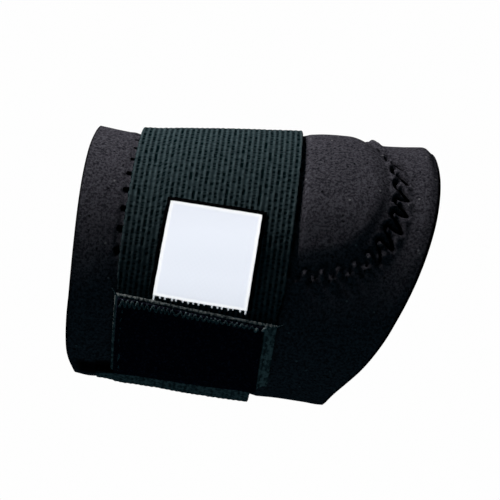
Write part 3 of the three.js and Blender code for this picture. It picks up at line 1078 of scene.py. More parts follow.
@dataclass
class SeamStitch:
    """The zigzag stitches of the seam round the pad, and the relief that they pull into the sleeve.

    Curves and spans go by distance along the loop: lower course, elbow end, top, wrist side.
    The pairs valley and pillow hold a height, furrow the darkness of painted shade, and each a half width.

    Attributes:
        tip: Where the stitches' outer tips lie in the count of stitches.
        wrist_offset: Shift of the stitches on the wrist side, in periods.
        stroke, stroke_share: How much thicker the thread is on a stroke; its middle and half length.
        stray: How far each stitch strays from its place, in periods or widths.
        arm_sink, hide, tuck: How deep thread sinks on its arms, where it shows less, and out of sight.
        low_span: The part of the loop that has no tufts.
        band, trench: Reach of the relief in widths; the trench's depth, and half width in widths.
        tuft_rows: Shift in periods and distance inward of each row of tufts.
        fold_crest, fold_dip: Distance inward and half width of the pucker's crest and dip.
        notch_root, notch_reach: Where the wrist side's notches of painted shade begin and end, out from the
            seam.
        steps: The way of one stitch: in along the stroke, up a leg, and back out along the arm.
    """

    width: Curve = Curve((
        (24.0, 5.9), (35.0, 5.9), (41.0, 5.2), (47.0, 4.5), (53.0, 4.4), (61.0, 3.5), (120.0, 3.5),
        (190.0, 5.0),
    ))
    period: Curve = Curve((
        (0.0, 5.66), (24.0, 5.6), (32.0, 5.5), (38.0, 5.8), (43.0, 5.3), (49.0, 6.6), (56.0, 7.25),
        (64.0, 6.8), (110.0, 6.0), (190.0, 7.35), (230.0, 7.4), (262.0, 7.3), (285.0, 5.66),
    ))
    tip: float = 0.2
    wrist_offset: float = -0.055
    offset_span: Span = (95.0, 185.0, 262.0, 300.0)
    radius: float = 0.55
    stroke: float = 1.25
    stroke_share: Pair = (0.17, 0.15)
    stray: float = 0.05
    points: int = 40
    seed: int = 71
    arm_sink: float = 0.8
    arm_span: Pair = (44.0, 52.0)
    sunk_weight: float = 1.3
    hide: float = 1.1
    tuck: float = 1.2
    sewn_span: Span = (19.0, 31.0, 150.0, 170.0)
    top_span: Span = (63.0, 70.0, 105.0, 120.0)
    top_loss: float = 0.85
    low_span: Span = (22.0, 36.0, 275.0, 300.0)
    valley: Pair = (0.6, 0.62)
    pillow: Pair = (1.5, 1.0)
    pillow_least: float = 0.35
    band: float = 0.68
    trench: Pair = (0.5, 0.6)
    tuft: float = 2.2
    tuft_rows: tuple[Pair, ...] = ((0.0, 0.5), (0.5, -1.7))
    tuft_half: Pair = (0.95, 1.2)
    pucker: float = 1.8
    pucker_span: Pair = (91.0, 10.0)
    fold_crest: Pair = (-1.6, 1.5)
    fold_dip: Pair = (1.0, 1.3)
    furrow: Pair = (1.2, 0.6)
    furrow_least: float = 0.3
    notch_root: float = 0.9
    notch_reach: Curve = Curve(
        ((190.0, 2.9), (203.0, 2.4), (217.0, 2.5), (226.0, 2.7), (233.0, 2.8), (247.0, 2.6))
    )
    notch_half: Curve = Curve(
        ((190.0, 0.6), (203.0, 0.7), (217.0, 0.9), (226.0, 1.1), (233.0, 1.25), (247.0, 1.4))
    )
    notch_edge: Pair = (-0.25, 0.15)
    notch_stop: float = 0.6
    notch_x: Pair = (-38.0, -30.0)
    steps: tuple[StitchStep, ...] = (
        StitchStep(0.00, 0.00, -0.52, 0.10),
        StitchStep(0.16, 0.33, -0.22, 0.15),
        StitchStep(0.33, 0.58, 0.10, 0.15),
        StitchStep(0.41, 0.62, 0.35, -0.30),
        StitchStep(0.50, 0.78, 0.45, 0.12),
        StitchStep(0.58, 0.95, 0.47, 0.12),
        StitchStep(0.63, 1.05, 0.41, 0.12),
        StitchStep(0.68, 1.08, 0.29, 0.10),
        StitchStep(0.76, 1.03, 0.10, 0.00, 1.0),
        StitchStep(0.89, 0.98, -0.25, -0.05, 1.0),
        StitchStep(0.97, 0.99, -0.48, 0.05, 0.5),
        StitchStep(1.00, 1.00, -0.52, 0.10),
    )

    @cached_property
    def phases(self) -> Array:
        """Stitches counted along the loop, a whole number in all, set right where the strap hides them."""
        stations = FORM.seam.stations
        middles = 0.5 * (stations[1:] + stations[:-1])
        count = np.concatenate([[0.0], np.cumsum(np.diff(stations) / self.period(middles))])
        rest = round(count[-1]) - count[-1]
        before = smooth(*self.offset_span[:2], stations)
        after = smooth(*self.offset_span[2:], stations)
        return count + self.wrist_offset * (before - after) + rest * after

    def phase(self, along: Array) -> Array:
        """Stitches passed at a distance along the loop."""
        return np.interp(along % FORM.seam.length, FORM.seam.stations, self.phases)

    def along(self, phase: Array) -> Array:
        """Distance along the loop where a count of stitches is reached."""
        return np.interp(phase % self.phases[-1], self.phases, FORM.seam.stations)

    def off_stroke(self, inside: Array, along: Array) -> Array:
        """Distance to the nearest thread that shows, of this stitch and the two beside it.

        Thread that lies sunk in the cloth counts as further away.

        Args:
            inside: Distances in from the seam.
            along: Distances along it.

        Returns:
            Distances in millimetres.
        """
        period = self.period(along)
        width = self.width(along)
        off = self.phase(along) - self.tip
        off = (off - np.floor(off)) * period
        arm_depth = self.arm_depth(along)
        gaps = []
        for near, far in zip(self.steps[:-1], self.steps[1:]):
            run = (far.advance - near.advance) * period
            rise = (far.inward - near.inward) * width
            dy = inside - near.inward * width
            sunk = np.clip(arm_depth * max(near.arm, far.arm) - min(near.height, far.height), 0.0, None)
            for shift in (-1.0, 0.0, 1.0):
                dx = off - (near.advance + shift) * period
                f = np.clip((dx * run + dy * rise) / (run**2 + rise**2), 0.0, 1.0)
                gaps.append(np.hypot(dx - f * run, dy - f * rise) + self.sunk_weight * sunk)
        return np.minimum.reduce(gaps)

    def arm_depth(self, along: Array) -> Array:
        """How deep the stitches' arms sink into the cloth."""
        return self.arm_sink * smooth(*self.arm_span, along)

    def plain(self, along: Array) -> Array:
        """How plainly the stitches show: 1 round the elbow end, less on top, 0 elsewhere."""
        return window(self.sewn_span, along) * (1.0 - self.top_loss * window(self.top_span, along))

    def tufts(self, inside: Array, along: Array) -> Array:
        """Staggered rows of small domes along the seam's lower course, from 0 to 1."""
        place = self.phase(along)
        domes = np.zeros_like(inside)
        for shift, inward in self.tuft_rows:
            off = (place - shift - np.round(place - shift)) * self.period(along)
            reach = np.hypot(off / self.tuft_half[0], (inside - inward) / self.tuft_half[1])
            domes = np.maximum(domes, bell(reach, 1.0))
        return domes * (1.0 - window(self.low_span, along))

    def relief(self, inside: Array, along: Array) -> Array:
        """Lift of the cloth at the seam: a trench, pillows and tufts in it, a furrow under each stitch.

        Args:
            inside: Distances in from the seam.
            along: Distances along it.

        Returns:
            Lifts in millimetres.
        """
        off = self.off_stroke(inside, along)
        width = self.width(along)
        band = np.exp(-((inside / (self.band * width)) ** 4))
        pillows = self.pillow[0] * (1.0 - bell(off, self.pillow[1]))
        pillows = pillows - self.valley[0] * bell(off, self.valley[1])
        pillows = pillows * mix(self.pillow_least, 1.0, self.plain(along))
        pillows = pillows + self.tuft * self.tufts(inside, along)
        crest, dip = (bell(inside - place, half) for place, half in (self.fold_crest, self.fold_dip))
        fold = self.pucker * (crest - 0.5 * dip) * bell(along - self.pucker_span[0], self.pucker_span[1])
        return band * pillows - self.trench[0] * bell(inside, self.trench[1] * width) + fold

    def shade(self, x: Array, inside: Array, along: Array) -> Array:
        """Painted shade in the furrows, and in the open notches beside the strap.

        Args:
            x: Distances along the arm.
            inside: Distances in from the seam.
            along: Distances along it.

        Returns:
            Shares of darkness from 0 to 1.
        """
        # Painted shade along the furrow of each stitch that shows.
        stroke = self.furrow[0] * bell(self.off_stroke(inside, along), self.furrow[1])
        stroke = stroke * mix(self.furrow_least, 1.0, self.plain(along))
        # Painted shade filling the notch inside each stitch's outer tip on the wrist side.
        place = self.phase(along)
        off = np.abs(place - np.round(place)) * self.period(along) / self.notch_half(along)
        out = np.clip(-inside - self.notch_root, 0.0, None) / (self.notch_reach(along) - self.notch_root)
        notch_shade = smooth(*self.notch_edge, 1.0 - off**3 - out**3) * (inside < self.notch_stop)
        wrist = 1.0 - smooth(*self.notch_x, x)
        return np.clip(mix(stroke, notch_shade, wrist), 0.0, 1.0)

    def build(self, sleeve: "Sleeve") -> None:
        """Lays the thread on the sleeve: each stitch's steps in turn, round the whole loop.

        Args:
            sleeve: The sleeve that it is sewn through.
        """
        stitches = int(round(self.phases[-1]))
        place = np.arange(stitches * self.points) / self.points
        share = place % 1.0
        shares = [step.share for step in self.steps]

        def column(name: str) -> Array:
            """One column of the steps, at every point of the thread."""
            return np.interp(share, shares, [getattr(step, name) for step in self.steps])

        number = np.floor(place)
        random = np.random.default_rng(self.seed).uniform(-self.stray, self.stray, (2, stitches))
        turn, reach = random[:, number.astype(int)] * np.sin(np.pi * share)
        along = self.along(number + self.tip + column("advance") + turn)
        x, angle = FORM.seam.at(along, self.width(along) * (column("inward") + reach))
        hidden = np.maximum(FORM.cover(x, angle), smooth(*self.sewn_span[2:], along))
        height = column("height") - column("arm") * self.arm_depth(along)
        height = height - self.hide * (1.0 - self.plain(along)) - self.tuck * hidden
        lift = sleeve.outer_lift(x, angle) + height
        middle, half = self.stroke_share
        radius = self.radius * mix(1.0, self.stroke, bell(share - middle, half))
        skin = thread(FORM.place(x, angle, lift), FORM.normal(x, angle), radius, True)
        dress(skin.build("pad_seam_thread"), BLACK_THREAD.material(), Slot.NEOPRENE)


@dataclass
class Sleeve:
    """The neoprene tube with its swept elbow end.

    Attributes:
        outer_rows: Rings along the outer face, counted up to shares of its length.
        elbow_puff, wrist_puff: How far the cut edges bulge along the arm.
        roll_outer, roll_inner: How far the faces are drawn in at the rolled elbow end.
        roll_share: How much of the roll is made, by angle: all of it on top, little below.
        dense_angle, dense_share: Where the points round the sleeve lie closest, and how much closer.
        edge_shadow: Middle of the dashed shadow beside the strap, and half its width.
        lap_shadow_angles, front: Angles counted down from the near side.
    """

    stitch: SeamStitch
    wall: float = 3.2
    columns: int = 480
    outer_rows: tuple[tuple[int, float], ...] = ((0, 0.0), (12, 0.075), (44, 0.16), (56, 0.60), (172, 1.0))
    inner_rows: int = 24
    rim_rows: int = 5
    elbow_puff: float = 0.5
    wrist_puff: float = -0.35
    roll_length: float = 4.5
    roll_outer: float = 2.1
    roll_inner: float = 1.0
    roll_share: Curve = Curve((
        (-90.0, 0.3), (0.0, 0.35), (30.0, 0.5), (60.0, 0.9), (80.0, 1.0), (140.0, 1.0), (200.0, 0.6),
        (270.0, 0.3),
    ))
    dense_angle: float = 52.0
    dense_share: float = 0.45
    ripple: Grain = Grain(0.10, 11.0, 3)
    dashes: Grain = Grain(1.0, 2.4, 5)
    dash_edge: Pair = (-0.35, 0.25)
    edge_shadow: Pair = (0.35, 0.6)
    edge_least: float = 0.35
    # Darkness of the painted shadow below the lap's wrist corner, and where it lies.
    lap_shadow: float = 0.9
    lap_shadow_angles: Span = (56.5, 60.5, 71.0, 77.0)
    lap_shadow_x: Span = (-57.0, -53.0, -40.0, -34.0)
    front: Pair = (-78.0, -55.0)
    # Distances over which the dark cut edge, partly painted contact shadow, shows at each end.
    elbow_core_and_shadow: Pair = (-1.0, -0.3)
    wrist_core_and_shadow: Pair = (0.2, 0.8)

    def roll(self, x: Array, angle: Array) -> Array:
        """How far a spot is into the rolled elbow edge, from 0 to 1."""
        into = smooth(-self.roll_length, 0.0, x - FORM.elbow_edge(angle))
        return into * self.roll_share(FORM.from_below(angle))

    def outer_lift(self, x: Array, angle: Array) -> Array:
        """Lift of the outer face: swelling, seam relief, strap pressure, rolled edge and a ripple.

        Args:
            x: Distances along the arm.
            angle: Angles round it.

        Returns:
            Lifts in millimetres.
        """
        inside, along = FORM.seam.nearest(x, angle)
        cover = FORM.cover(x, angle)
        bare = FORM.bare_swell(x, angle, inside) + self.stitch.relief(inside, along)
        swell = mix(bare, FORM.soft_swell(x, inside), cover)
        ripple = self.ripple(x, FORM.seam.arc_of(angle)) * (1.0 - cover)
        return swell + ripple - FORM.pressed(x, angle) - self.roll_outer * self.roll(x, angle) ** 2

    def inner_lift(self, x: Array, angle: Array) -> Array:
        """Lift of the inner face: the soft swelling one wall below, drawn in at the elbow edge.

        Args:
            x: Distances along the arm.
            angle: Angles round it.

        Returns:
            Lifts in millimetres.
        """
        inside, _ = FORM.seam.nearest(x, angle)
        press = FORM.press_depth * FORM.cover(x, angle)
        return FORM.soft_swell(x, inside) - press - self.wall - self.roll_inner * self.roll(x, angle)

    def shade(self, x: Array, angle: Array) -> Array:
        """Painted shade in the seam's furrows, painted shadow in dashes under the strap's elbow edge, and
        painted shadow below the lap.

        Args:
            x: Distances along the arm.
            angle: Angles round it.

        Returns:
            Shares from 0 to 1.
        """
        inside, along = FORM.seam.nearest(x, angle)
        _, across, beside = FORM.across_strap(x, angle)
        dashes = smooth(*self.dash_edge, self.dashes(FORM.seam.arc_of(angle)))
        middle, half = self.edge_shadow
        # Painted shadow beside the strap's elbow edge, broken into dashes.
        strap_edge_shadow = bell(beside - middle, half) * (across > 0.0) * mix(self.edge_least, 1.0, dashes)
        # Painted shadow below the lap's corner.
        lap_shadow = self.lap_shadow * window(self.lap_shadow_angles, -FORM.from_below(angle)) * window(self.lap_shadow_x, x)
        return np.maximum.reduce([self.stitch.shade(x, inside, along), strap_edge_shadow, lap_shadow])

    def cut(self, x: Array, angle: Array) -> Array:
        """Dark cut edge along the outer face's ends, partly painted contact shadow where the cloth meets the
        arm; at the elbow end, on the near side alone.
        """
        front = smooth(*self.front, -FORM.from_below(angle))
        elbow = smooth(*self.elbow_core_and_shadow, x - FORM.elbow_edge(angle)) * front
        wrist = 1.0 - smooth(*self.wrist_core_and_shadow, x - FORM.wrist_edge(angle))
        return np.maximum(elbow, wrist)

    def angles(self) -> Array:
        """Angles round the sleeve, closer together where the pad lies."""
        even = np.linspace(-180.0, 180.0, self.columns, endpoint=False)
        bunch = np.degrees(self.dense_share * np.sin(np.radians(even)))
        return self.dense_angle + even - bunch

    def rows(self, side: Side) -> Triple:
        """One face of the wall, from the wrist edge to the elbow edge.

        Args:
            side: Which face.

        Returns:
            Distances along the arm, angles and lifts, each (rings, columns).
        """
        counts, shares = zip(*self.outer_rows)
        share = np.interp(np.arange(counts[-1] + 1), counts, shares)
        if side is Side.INNER:
            share = np.linspace(0.0, 1.0, self.inner_rows)
        angle = np.tile(self.angles(), (len(share), 1))
        x = mix(FORM.wrist_edge(angle), FORM.elbow_edge(angle), share[:, None])
        lift = self.outer_lift(x, angle) if side is Side.OUTER else self.inner_lift(x, angle)
        return x, angle, lift

    def rim(self, start: tuple[Array, ...], end: tuple[Array, ...], puff: float) -> tuple[Array, ...]:
        """A cut edge from one face to the other, bulging by half a sine wave, blunted.

        Args:
            start: Distances, angles and lifts of the ring that it leaves.
            end: The same of the ring that it meets.
            puff: How far the edge stands out along the arm.

        Returns:
            Distances, angles and lifts of the rings between.
        """
        share = np.linspace(0.0, 1.0, self.rim_rows + 2)[1:-1, None]
        x = mix(start[0], end[0], share) + puff * np.sin(np.pi * share) ** 0.6
        angle = np.tile(start[1], (self.rim_rows, 1))
        return x, angle, mix(start[2], end[2], share)

    def build(self) -> None:
        """Makes the tube: out along the outer face, round the edge, back along the inner face."""
        outer = self.rows(Side.OUTER)
        inner = tuple(part[::-1] for part in self.rows(Side.INNER))
        last, first = (tuple(part[row] for part in outer) for row in (-1, 0))
        elbow = self.rim(last, tuple(part[0] for part in inner), self.elbow_puff)
        wrist = self.rim(tuple(part[-1] for part in inner), first, self.wrist_puff)
        stack = (outer, elbow, inner, wrist)
        x, angle, lift = (np.concatenate(parts) for parts in zip(*stack))
        rings = [len(part[0]) for part in stack]
        # Cut core on the rims; on the outer face's edges it is partly painted contact shadow.
        core_and_shadow = np.repeat(np.array([0.0, 1.0, 0.0, 1.0]), rings)[:, None] * np.ones(self.columns)
        core_and_shadow[: rings[0]] = self.cut(*outer[:2])
        # Painted shade and shadow on the outer face.
        shade = np.zeros_like(core_and_shadow)
        shade[: rings[0]] = self.shade(*outer[:2])
        uv = cloth_uv(x, np.radians(angle - self.dense_angle) * FORM.seam.radius)
        skin = Skin(FORM.place(x, angle, lift), True, uv, {"core_and_shadow": core_and_shadow, "shade": shade})
        piece = dress(skin.build("sleeve_cloth"), NeopreneFinish().material(), Slot.NEOPRENE, ("sleeve",))


@dataclass
class Pad:
    """The cushion sewn to the inside of the sleeve.

    Attributes:
        seam_share: Share of the way from its middle to the seam that it reaches.
        first_ring: Share of the way out where the rings begin.
        quilt: Unevenness of its inner face.
    """

    sleeve: Sleeve
    gap: float = 0.4
    seam_share: float = 0.9
    thickness: float = 3.4
    rim_thickness: float = 1.2
    rings: int = 26
    columns: int = 180
    centre_x: float = 4.0
    first_ring: float = 0.04
    quilt: Grain = Grain(0.12, 7.0, 8)

    def build(self) -> None:
        """A crowned cushion: rings from its middle out to the seam and back over the inner face."""
        along = np.linspace(0.0, FORM.seam.length, self.columns, endpoint=False)
        rim_x, rim_angle = FORM.seam.at(along, np.zeros(self.columns))
        share = np.linspace(self.first_ring, 1.0, self.rings)
        share = np.concatenate([share, share[::-1]])[:, None]
        x = mix(self.centre_x, rim_x, share * self.seam_share)
        angle = mix(FORM.seam.middle, rim_angle, share * self.seam_share)
        arc = FORM.seam.arc_of(angle)
        crown = mix(self.thickness, self.rim_thickness, share**3)
        back = (np.arange(2 * self.rings) >= self.rings)[:, None]
        depth = np.where(back, crown + self.quilt(x, arc) * (1.0 - share**4), 0.0)
        lift = self.sleeve.inner_lift(x, angle) - self.gap - depth
        skin = Skin(FORM.place(x, angle, lift), False, cloth_uv(x, arc))
        piece = dress(skin.build("pad_cushion"), PAD_CLOTH.material(), Slot.PAD, ("epicondyle_pad",))


@dataclass
class Strap:
    """The ribbed elastic band: one turn round the sleeve, lapped over its own first end.

    Names that end in turns are turn angles, and those in across distances across the band, between
    which something sets in or ends.

    Attributes:
        short_end: How much earlier it ends at its wrist edge, which the lap doesn't cover.
        ramp: Turn angles over which it climbs on to its first layer.
        slack, top_rise: How far it hangs off the underside, and stands up on top.
        wander, wander_span: Noise that varies the edge loops, and its places for half the width.
        selvage, selvage_reach: Paleness of its elbow edge, and where that begins and is full; the same pale
            mark carries painted rim light on the strip below the lap.
    """

    thickness: float = 1.7
    gap: float = 0.3
    start_turn: float = -55.0
    end_turn: float = 306.5
    short_end: float = 12.0
    short_across: Pair = (-21.0, -13.0)
    ramp: Pair = (268.0, 297.0)
    slack: float = 0.45
    slack_turns: Pair = (235.0, 262.0)
    slack_across: Pair = (-10.0, 22.0)
    top_rise: float = 0.6
    top_half: float = 42.0
    top_across: Pair = (-27.0, -5.0)
    rib_pitch: float = 1.8
    rib_height: float = 0.12
    fuzz: Grain = Grain(0.09, 1.4, 15)
    edge_round: float = 0.35
    end_round: float = 0.8
    rings: int = 380
    loop_period: float = 3.4
    loop_depth: float = 0.15
    wander: Grain = Grain(1.5, 5.0, 14)
    wander_span: float = 40.0
    selvage_and_painted_light: float = 0.3
    selvage_reach: Pair = (-0.6, 0.5)
    # Turn angles from which the strip below the lap, which faces down, takes the pale colour as painted rim
    # light.
    rim_light_turns: Pair = (276.0, 284.0)

    @property
    def length(self) -> float:
        """Length of the band along its middle line."""
        return math.radians(self.end_turn - self.start_turn) * FORM.strap_radius

    def end(self, across: Array) -> Array:
        """Turn angle of the outer end, which stops short where the lap doesn't cover it."""
        return self.end_turn - self.short_end * (1.0 - smooth(*self.short_across, across))

    def stand_off(self, turn: Array, across: Array) -> Array:
        """Height of the inner face over the pressed sleeve: gap, climb, slack below, rise on top."""
        climb = smooth(*self.ramp, turn)
        under = smooth(*self.slack_turns, turn) * (1.0 - climb)
        hang = self.slack * under * smooth(*self.slack_across, across)
        stand = self.top_rise * bell(turn - 90.0, self.top_half) * (1.0 - smooth(*self.top_across, across))
        return self.gap + (self.thickness + self.gap) * climb + hang + stand

    def ribs(self, across: Array, height: float) -> Array:
        """Cosine ribs across the band, down from 0 on their crests."""
        return 0.5 * height * (np.cos(2.0 * np.pi * across / self.rib_pitch) - 1.0)

    def spot(self, turn: Array, across: Array) -> Triple:
        """Place of a spot of the band: square to its slanting middle line.

        Args:
            turn: Turn angles along the band.
            across: Distances across it.

        Returns:
            Distances along the arm, angles round it, and lifts of the inner face.
        """
        rise = FORM.strap_middle(turn + 1.0) - FORM.strap_middle(turn - 1.0)
        slant = np.arctan2(rise, math.radians(2.0) * FORM.strap_radius)
        x = FORM.strap_middle(turn) + across * np.cos(slant)
        angle = turn - np.degrees(across * np.sin(slant) / FORM.strap_radius)
        foot = FORM.pressed_face(x, angle) - FORM.sink(turn, across)
        return x, angle, foot + self.stand_off(turn, across)

    def build(self) -> None:
        """Carries the ribbed section along the band's turn; its edges swell in small loops."""
        section = StripSection(self.thickness, outer=150, inner=60)
        share, kept = end_rounding(self.length, self.rings, self.end_round)
        share = share[:, None]
        along = share * self.length
        half = FORM.strap_width(mix(self.start_turn, self.end_turn, share)) / 2.0 - self.edge_round
        wander = self.wander(along, section.shares * self.wander_span)
        loops = self.loop_depth * np.cos(2.0 * np.pi * along / self.loop_period + wander)
        across = half * section.shares + section.bulge * (self.edge_round + loops)
        relief = self.ribs(across, self.rib_height) + self.fuzz(across, along)
        height = section.loft(relief * (np.abs(section.shares) < 1.0), kept)
        turn = mix(self.start_turn, self.end(across), share)
        x, angle, lift = self.spot(turn, across)
        begin, full = self.selvage_reach
        edging = self.selvage_and_painted_light * smooth(half + begin, half + full, np.abs(across)) * (across > 0.0)
        # The pale mark: selvage yarn on the elbow edge, and painted rim light on the strip below the lap.
        marks = {"selvage_and_painted_light": np.maximum(edging, smooth(*self.rim_light_turns, turn))}
        skin = Skin(FORM.place(x, angle, lift + height), False, cloth_uv(across, along), marks)
        finish = ElasticFinish(rib_pitch=self.rib_pitch)
        piece = dress(skin.build("strap_elastic"), finish.material(), Slot.ELASTIC, ("elastic_strap",))
        self.length * MM


@dataclass
class Lap:
    """The strap's fastening end: a straight piece of the elastic, sewn on the band's outer end.

    Attributes:
        left, right: Its wrist and elbow sides, as distances along the arm.
        top_slope: Fall of the upper edge, in degrees for each millimetre towards the elbow.
        lean: How far its elbow side draws in towards the lower edge.
        layers: Height of its middle over the strap's own radius.
        rise: How far its lower edge stands up where the band runs under it.
        corner_drop: How far the lower edge's wrist corner hangs down, in degrees.
        elbow_selvage, wrist_selvage, top_selvage_and_highlight: Reach of its pale edges; along the top the
        paleness is partly a painted highlight.
        ear_inset, ear_reach: Where the loose thread ends start from its sides, and how far they go.
        ear_down, ear_lift: Their start and end on the way down; how much higher the wrist one ends.
    """

    strap: Strap
    left: float = -42.7
    right: float = 11.0
    top_angle: float = -15.9
    top_slope: float = -0.1243
    low_angle: float = -55.4
    lean: float = 0.8
    thickness: float = 1.5
    layers: float = 2.0
    rise: float = 1.75
    rise_angles: Pair = (-51.5, -43.0)
    rise_x: Pair = (5.4, 9.4)
    corner_drop: float = 2.7
    corner_reach: Pair = (-0.3, 5.2)
    rings: int = 150
    end_round: float = 0.55
    rib_height: float = 0.2
    ragged: Grain = Grain(0.12, 1.6, 31)
    ragged_span: float = 30.0
    elbow_selvage: Pair = (3.3, 2.6)
    wrist_selvage: float = 0.5
    top_selvage_and_highlight: Pair = (0.5, 1.0)
    paleness: float = 1.3
    elbow_paleness: float = 0.5
    corner_highlight: float = 7.0
    ear_inset: float = 0.6
    ear_reach: Pair = (-1.9, 2.6)
    ear_radius: Pair = (0.3, 0.08)
    ear_sink: float = 0.3
    ear_down: Pair = (0.02, -0.02)
    ear_lift: float = 0.03
    ear_points: int = 14
    selvage_and_highlight_colour: Colour = (0.27, 0.29, 0.28)

    @property
    def length(self) -> float:
        """Length from the lower to the upper edge, at the middle."""
        middle = self.top_angle + self.top_slope * (self.right - self.left) / 2.0
        return math.radians(middle - self.low_angle) * (FORM.strap_radius + self.layers)

    def angle(self, x: Array, down: Array) -> Array:
        """Angle of a spot: 0 down is the upper edge, 1 the lower one."""
        low = self.low_angle - self.corner_drop * (1.0 - self.clear(x))
        return mix(self.top_angle + self.top_slope * (x - self.left), low, down)

    def clear(self, x: Array) -> Array:
        """1 where the band's outer end runs under the lap, 0 at the wrist side, where it stops short."""
        return smooth(*self.corner_reach, x - self.left)

    def place(self, x: Array, down: Array, height: Array) -> Array:
        """Points at a height over the lap's inner face.

        Args:
            x: Distances along the arm.
            down: Shares of the way from the upper to the lower edge.
            height: Heights in millimetres.

        Returns:
            Points in metres.
        """
        angle = self.angle(x, down)
        on_band = (1.0 - smooth(*self.rise_angles, angle)) * (1.0 - smooth(*self.rise_x, x)) * self.clear(x)
        foot = FORM.pressed_face(x, angle) + 2.0 * self.strap.gap + self.strap.thickness
        return FORM.place(x, angle, foot + self.rise * on_band + height)

    def paled(self, across: Array, along: Array, half: float) -> Array:
        """How pale the lap is: a band along its elbow side, a line along the wrist side, and a line along the
        top that is partly a painted highlight, brightest at the upper wrist corner.

        Args:
            across: Distances from its middle towards the elbow.
            along: Distances below its upper edge.
            half: Half the width of its flat part.

        Returns:
            Paleness, where 1 is the selvage's own colour.
        """
        begin, full = self.elbow_selvage
        elbow_side = smooth(half - begin, half - full, across)
        wrist_side = self.paleness * smooth(half - self.wrist_selvage, half, -across)
        # Along the top: pale yarn, partly a painted highlight.
        upper = self.paleness + self.elbow_paleness * smooth(0.0, half, across)
        upper = upper * (1.0 - smooth(*self.top_selvage_and_highlight, along))
        # Painted highlight: all paleness brightened towards the upper wrist corner.
        corner = 1.0 + bell(np.hypot(across + half, along), self.corner_highlight)
        return np.maximum.reduce([elbow_side, wrist_side, upper]) * corner

    def build(self) -> None:
        """A strip with rounded edges, fine ribs along it, pale selvages on both sides, and a painted
        highlight along its upper edge.
        """
        section = StripSection(self.thickness, outer=150, inner=30)
        share, kept = end_rounding(self.length, self.rings, self.end_round)
        half = (self.right - self.left) / 2.0 - self.thickness / 2.0
        down = np.broadcast_to(share[:, None], (len(share), len(section.shares)))
        along = down * self.length
        ragged = self.ragged(along, section.shares * self.ragged_span)
        across = half * section.shares + section.bulge * (self.thickness / 2.0 + ragged)
        height = section.loft(self.strap.ribs(across, self.rib_height), kept)
        x = (self.left + self.right) / 2.0 + across - self.lean * down * smooth(-half, half, across)
        marks = {"selvage_and_painted_light": self.paled(across, along, half)}
        skin = Skin(self.place(x, down, height), False, cloth_uv(across, along), marks)
        finish = ElasticFinish("elastic_lap", selvage_and_painted_light=self.selvage_and_highlight_colour, rib_pitch=self.strap.rib_pitch)
        piece = dress(skin.build("strap_lap"), finish.material(), Slot.ELASTIC)
        self.length * MM

    def ears(self) -> None:
        """Loose thread ends that taper away from the two upper corners."""
        reach = np.linspace(0.0, 1.0, self.ear_points)
        taper = mix(*self.ear_radius, reach)
        green = GREEN_THREAD.material()
        starts = (self.left + self.ear_inset, self.right - self.ear_inset)
        for name, start, step in zip(("ear_wrist", "ear_elbow"), starts, self.ear_reach):
            x = start + step * reach
            down = mix(*self.ear_down, reach) - self.ear_lift * (step < 0) * reach
            path = self.place(x, down, self.thickness - self.ear_sink - self.ear_sink * reach)
            out = FORM.normal(x, self.angle(x, down))
            dress(thread(path, out, taper).build(name), green, Slot.ELASTIC)


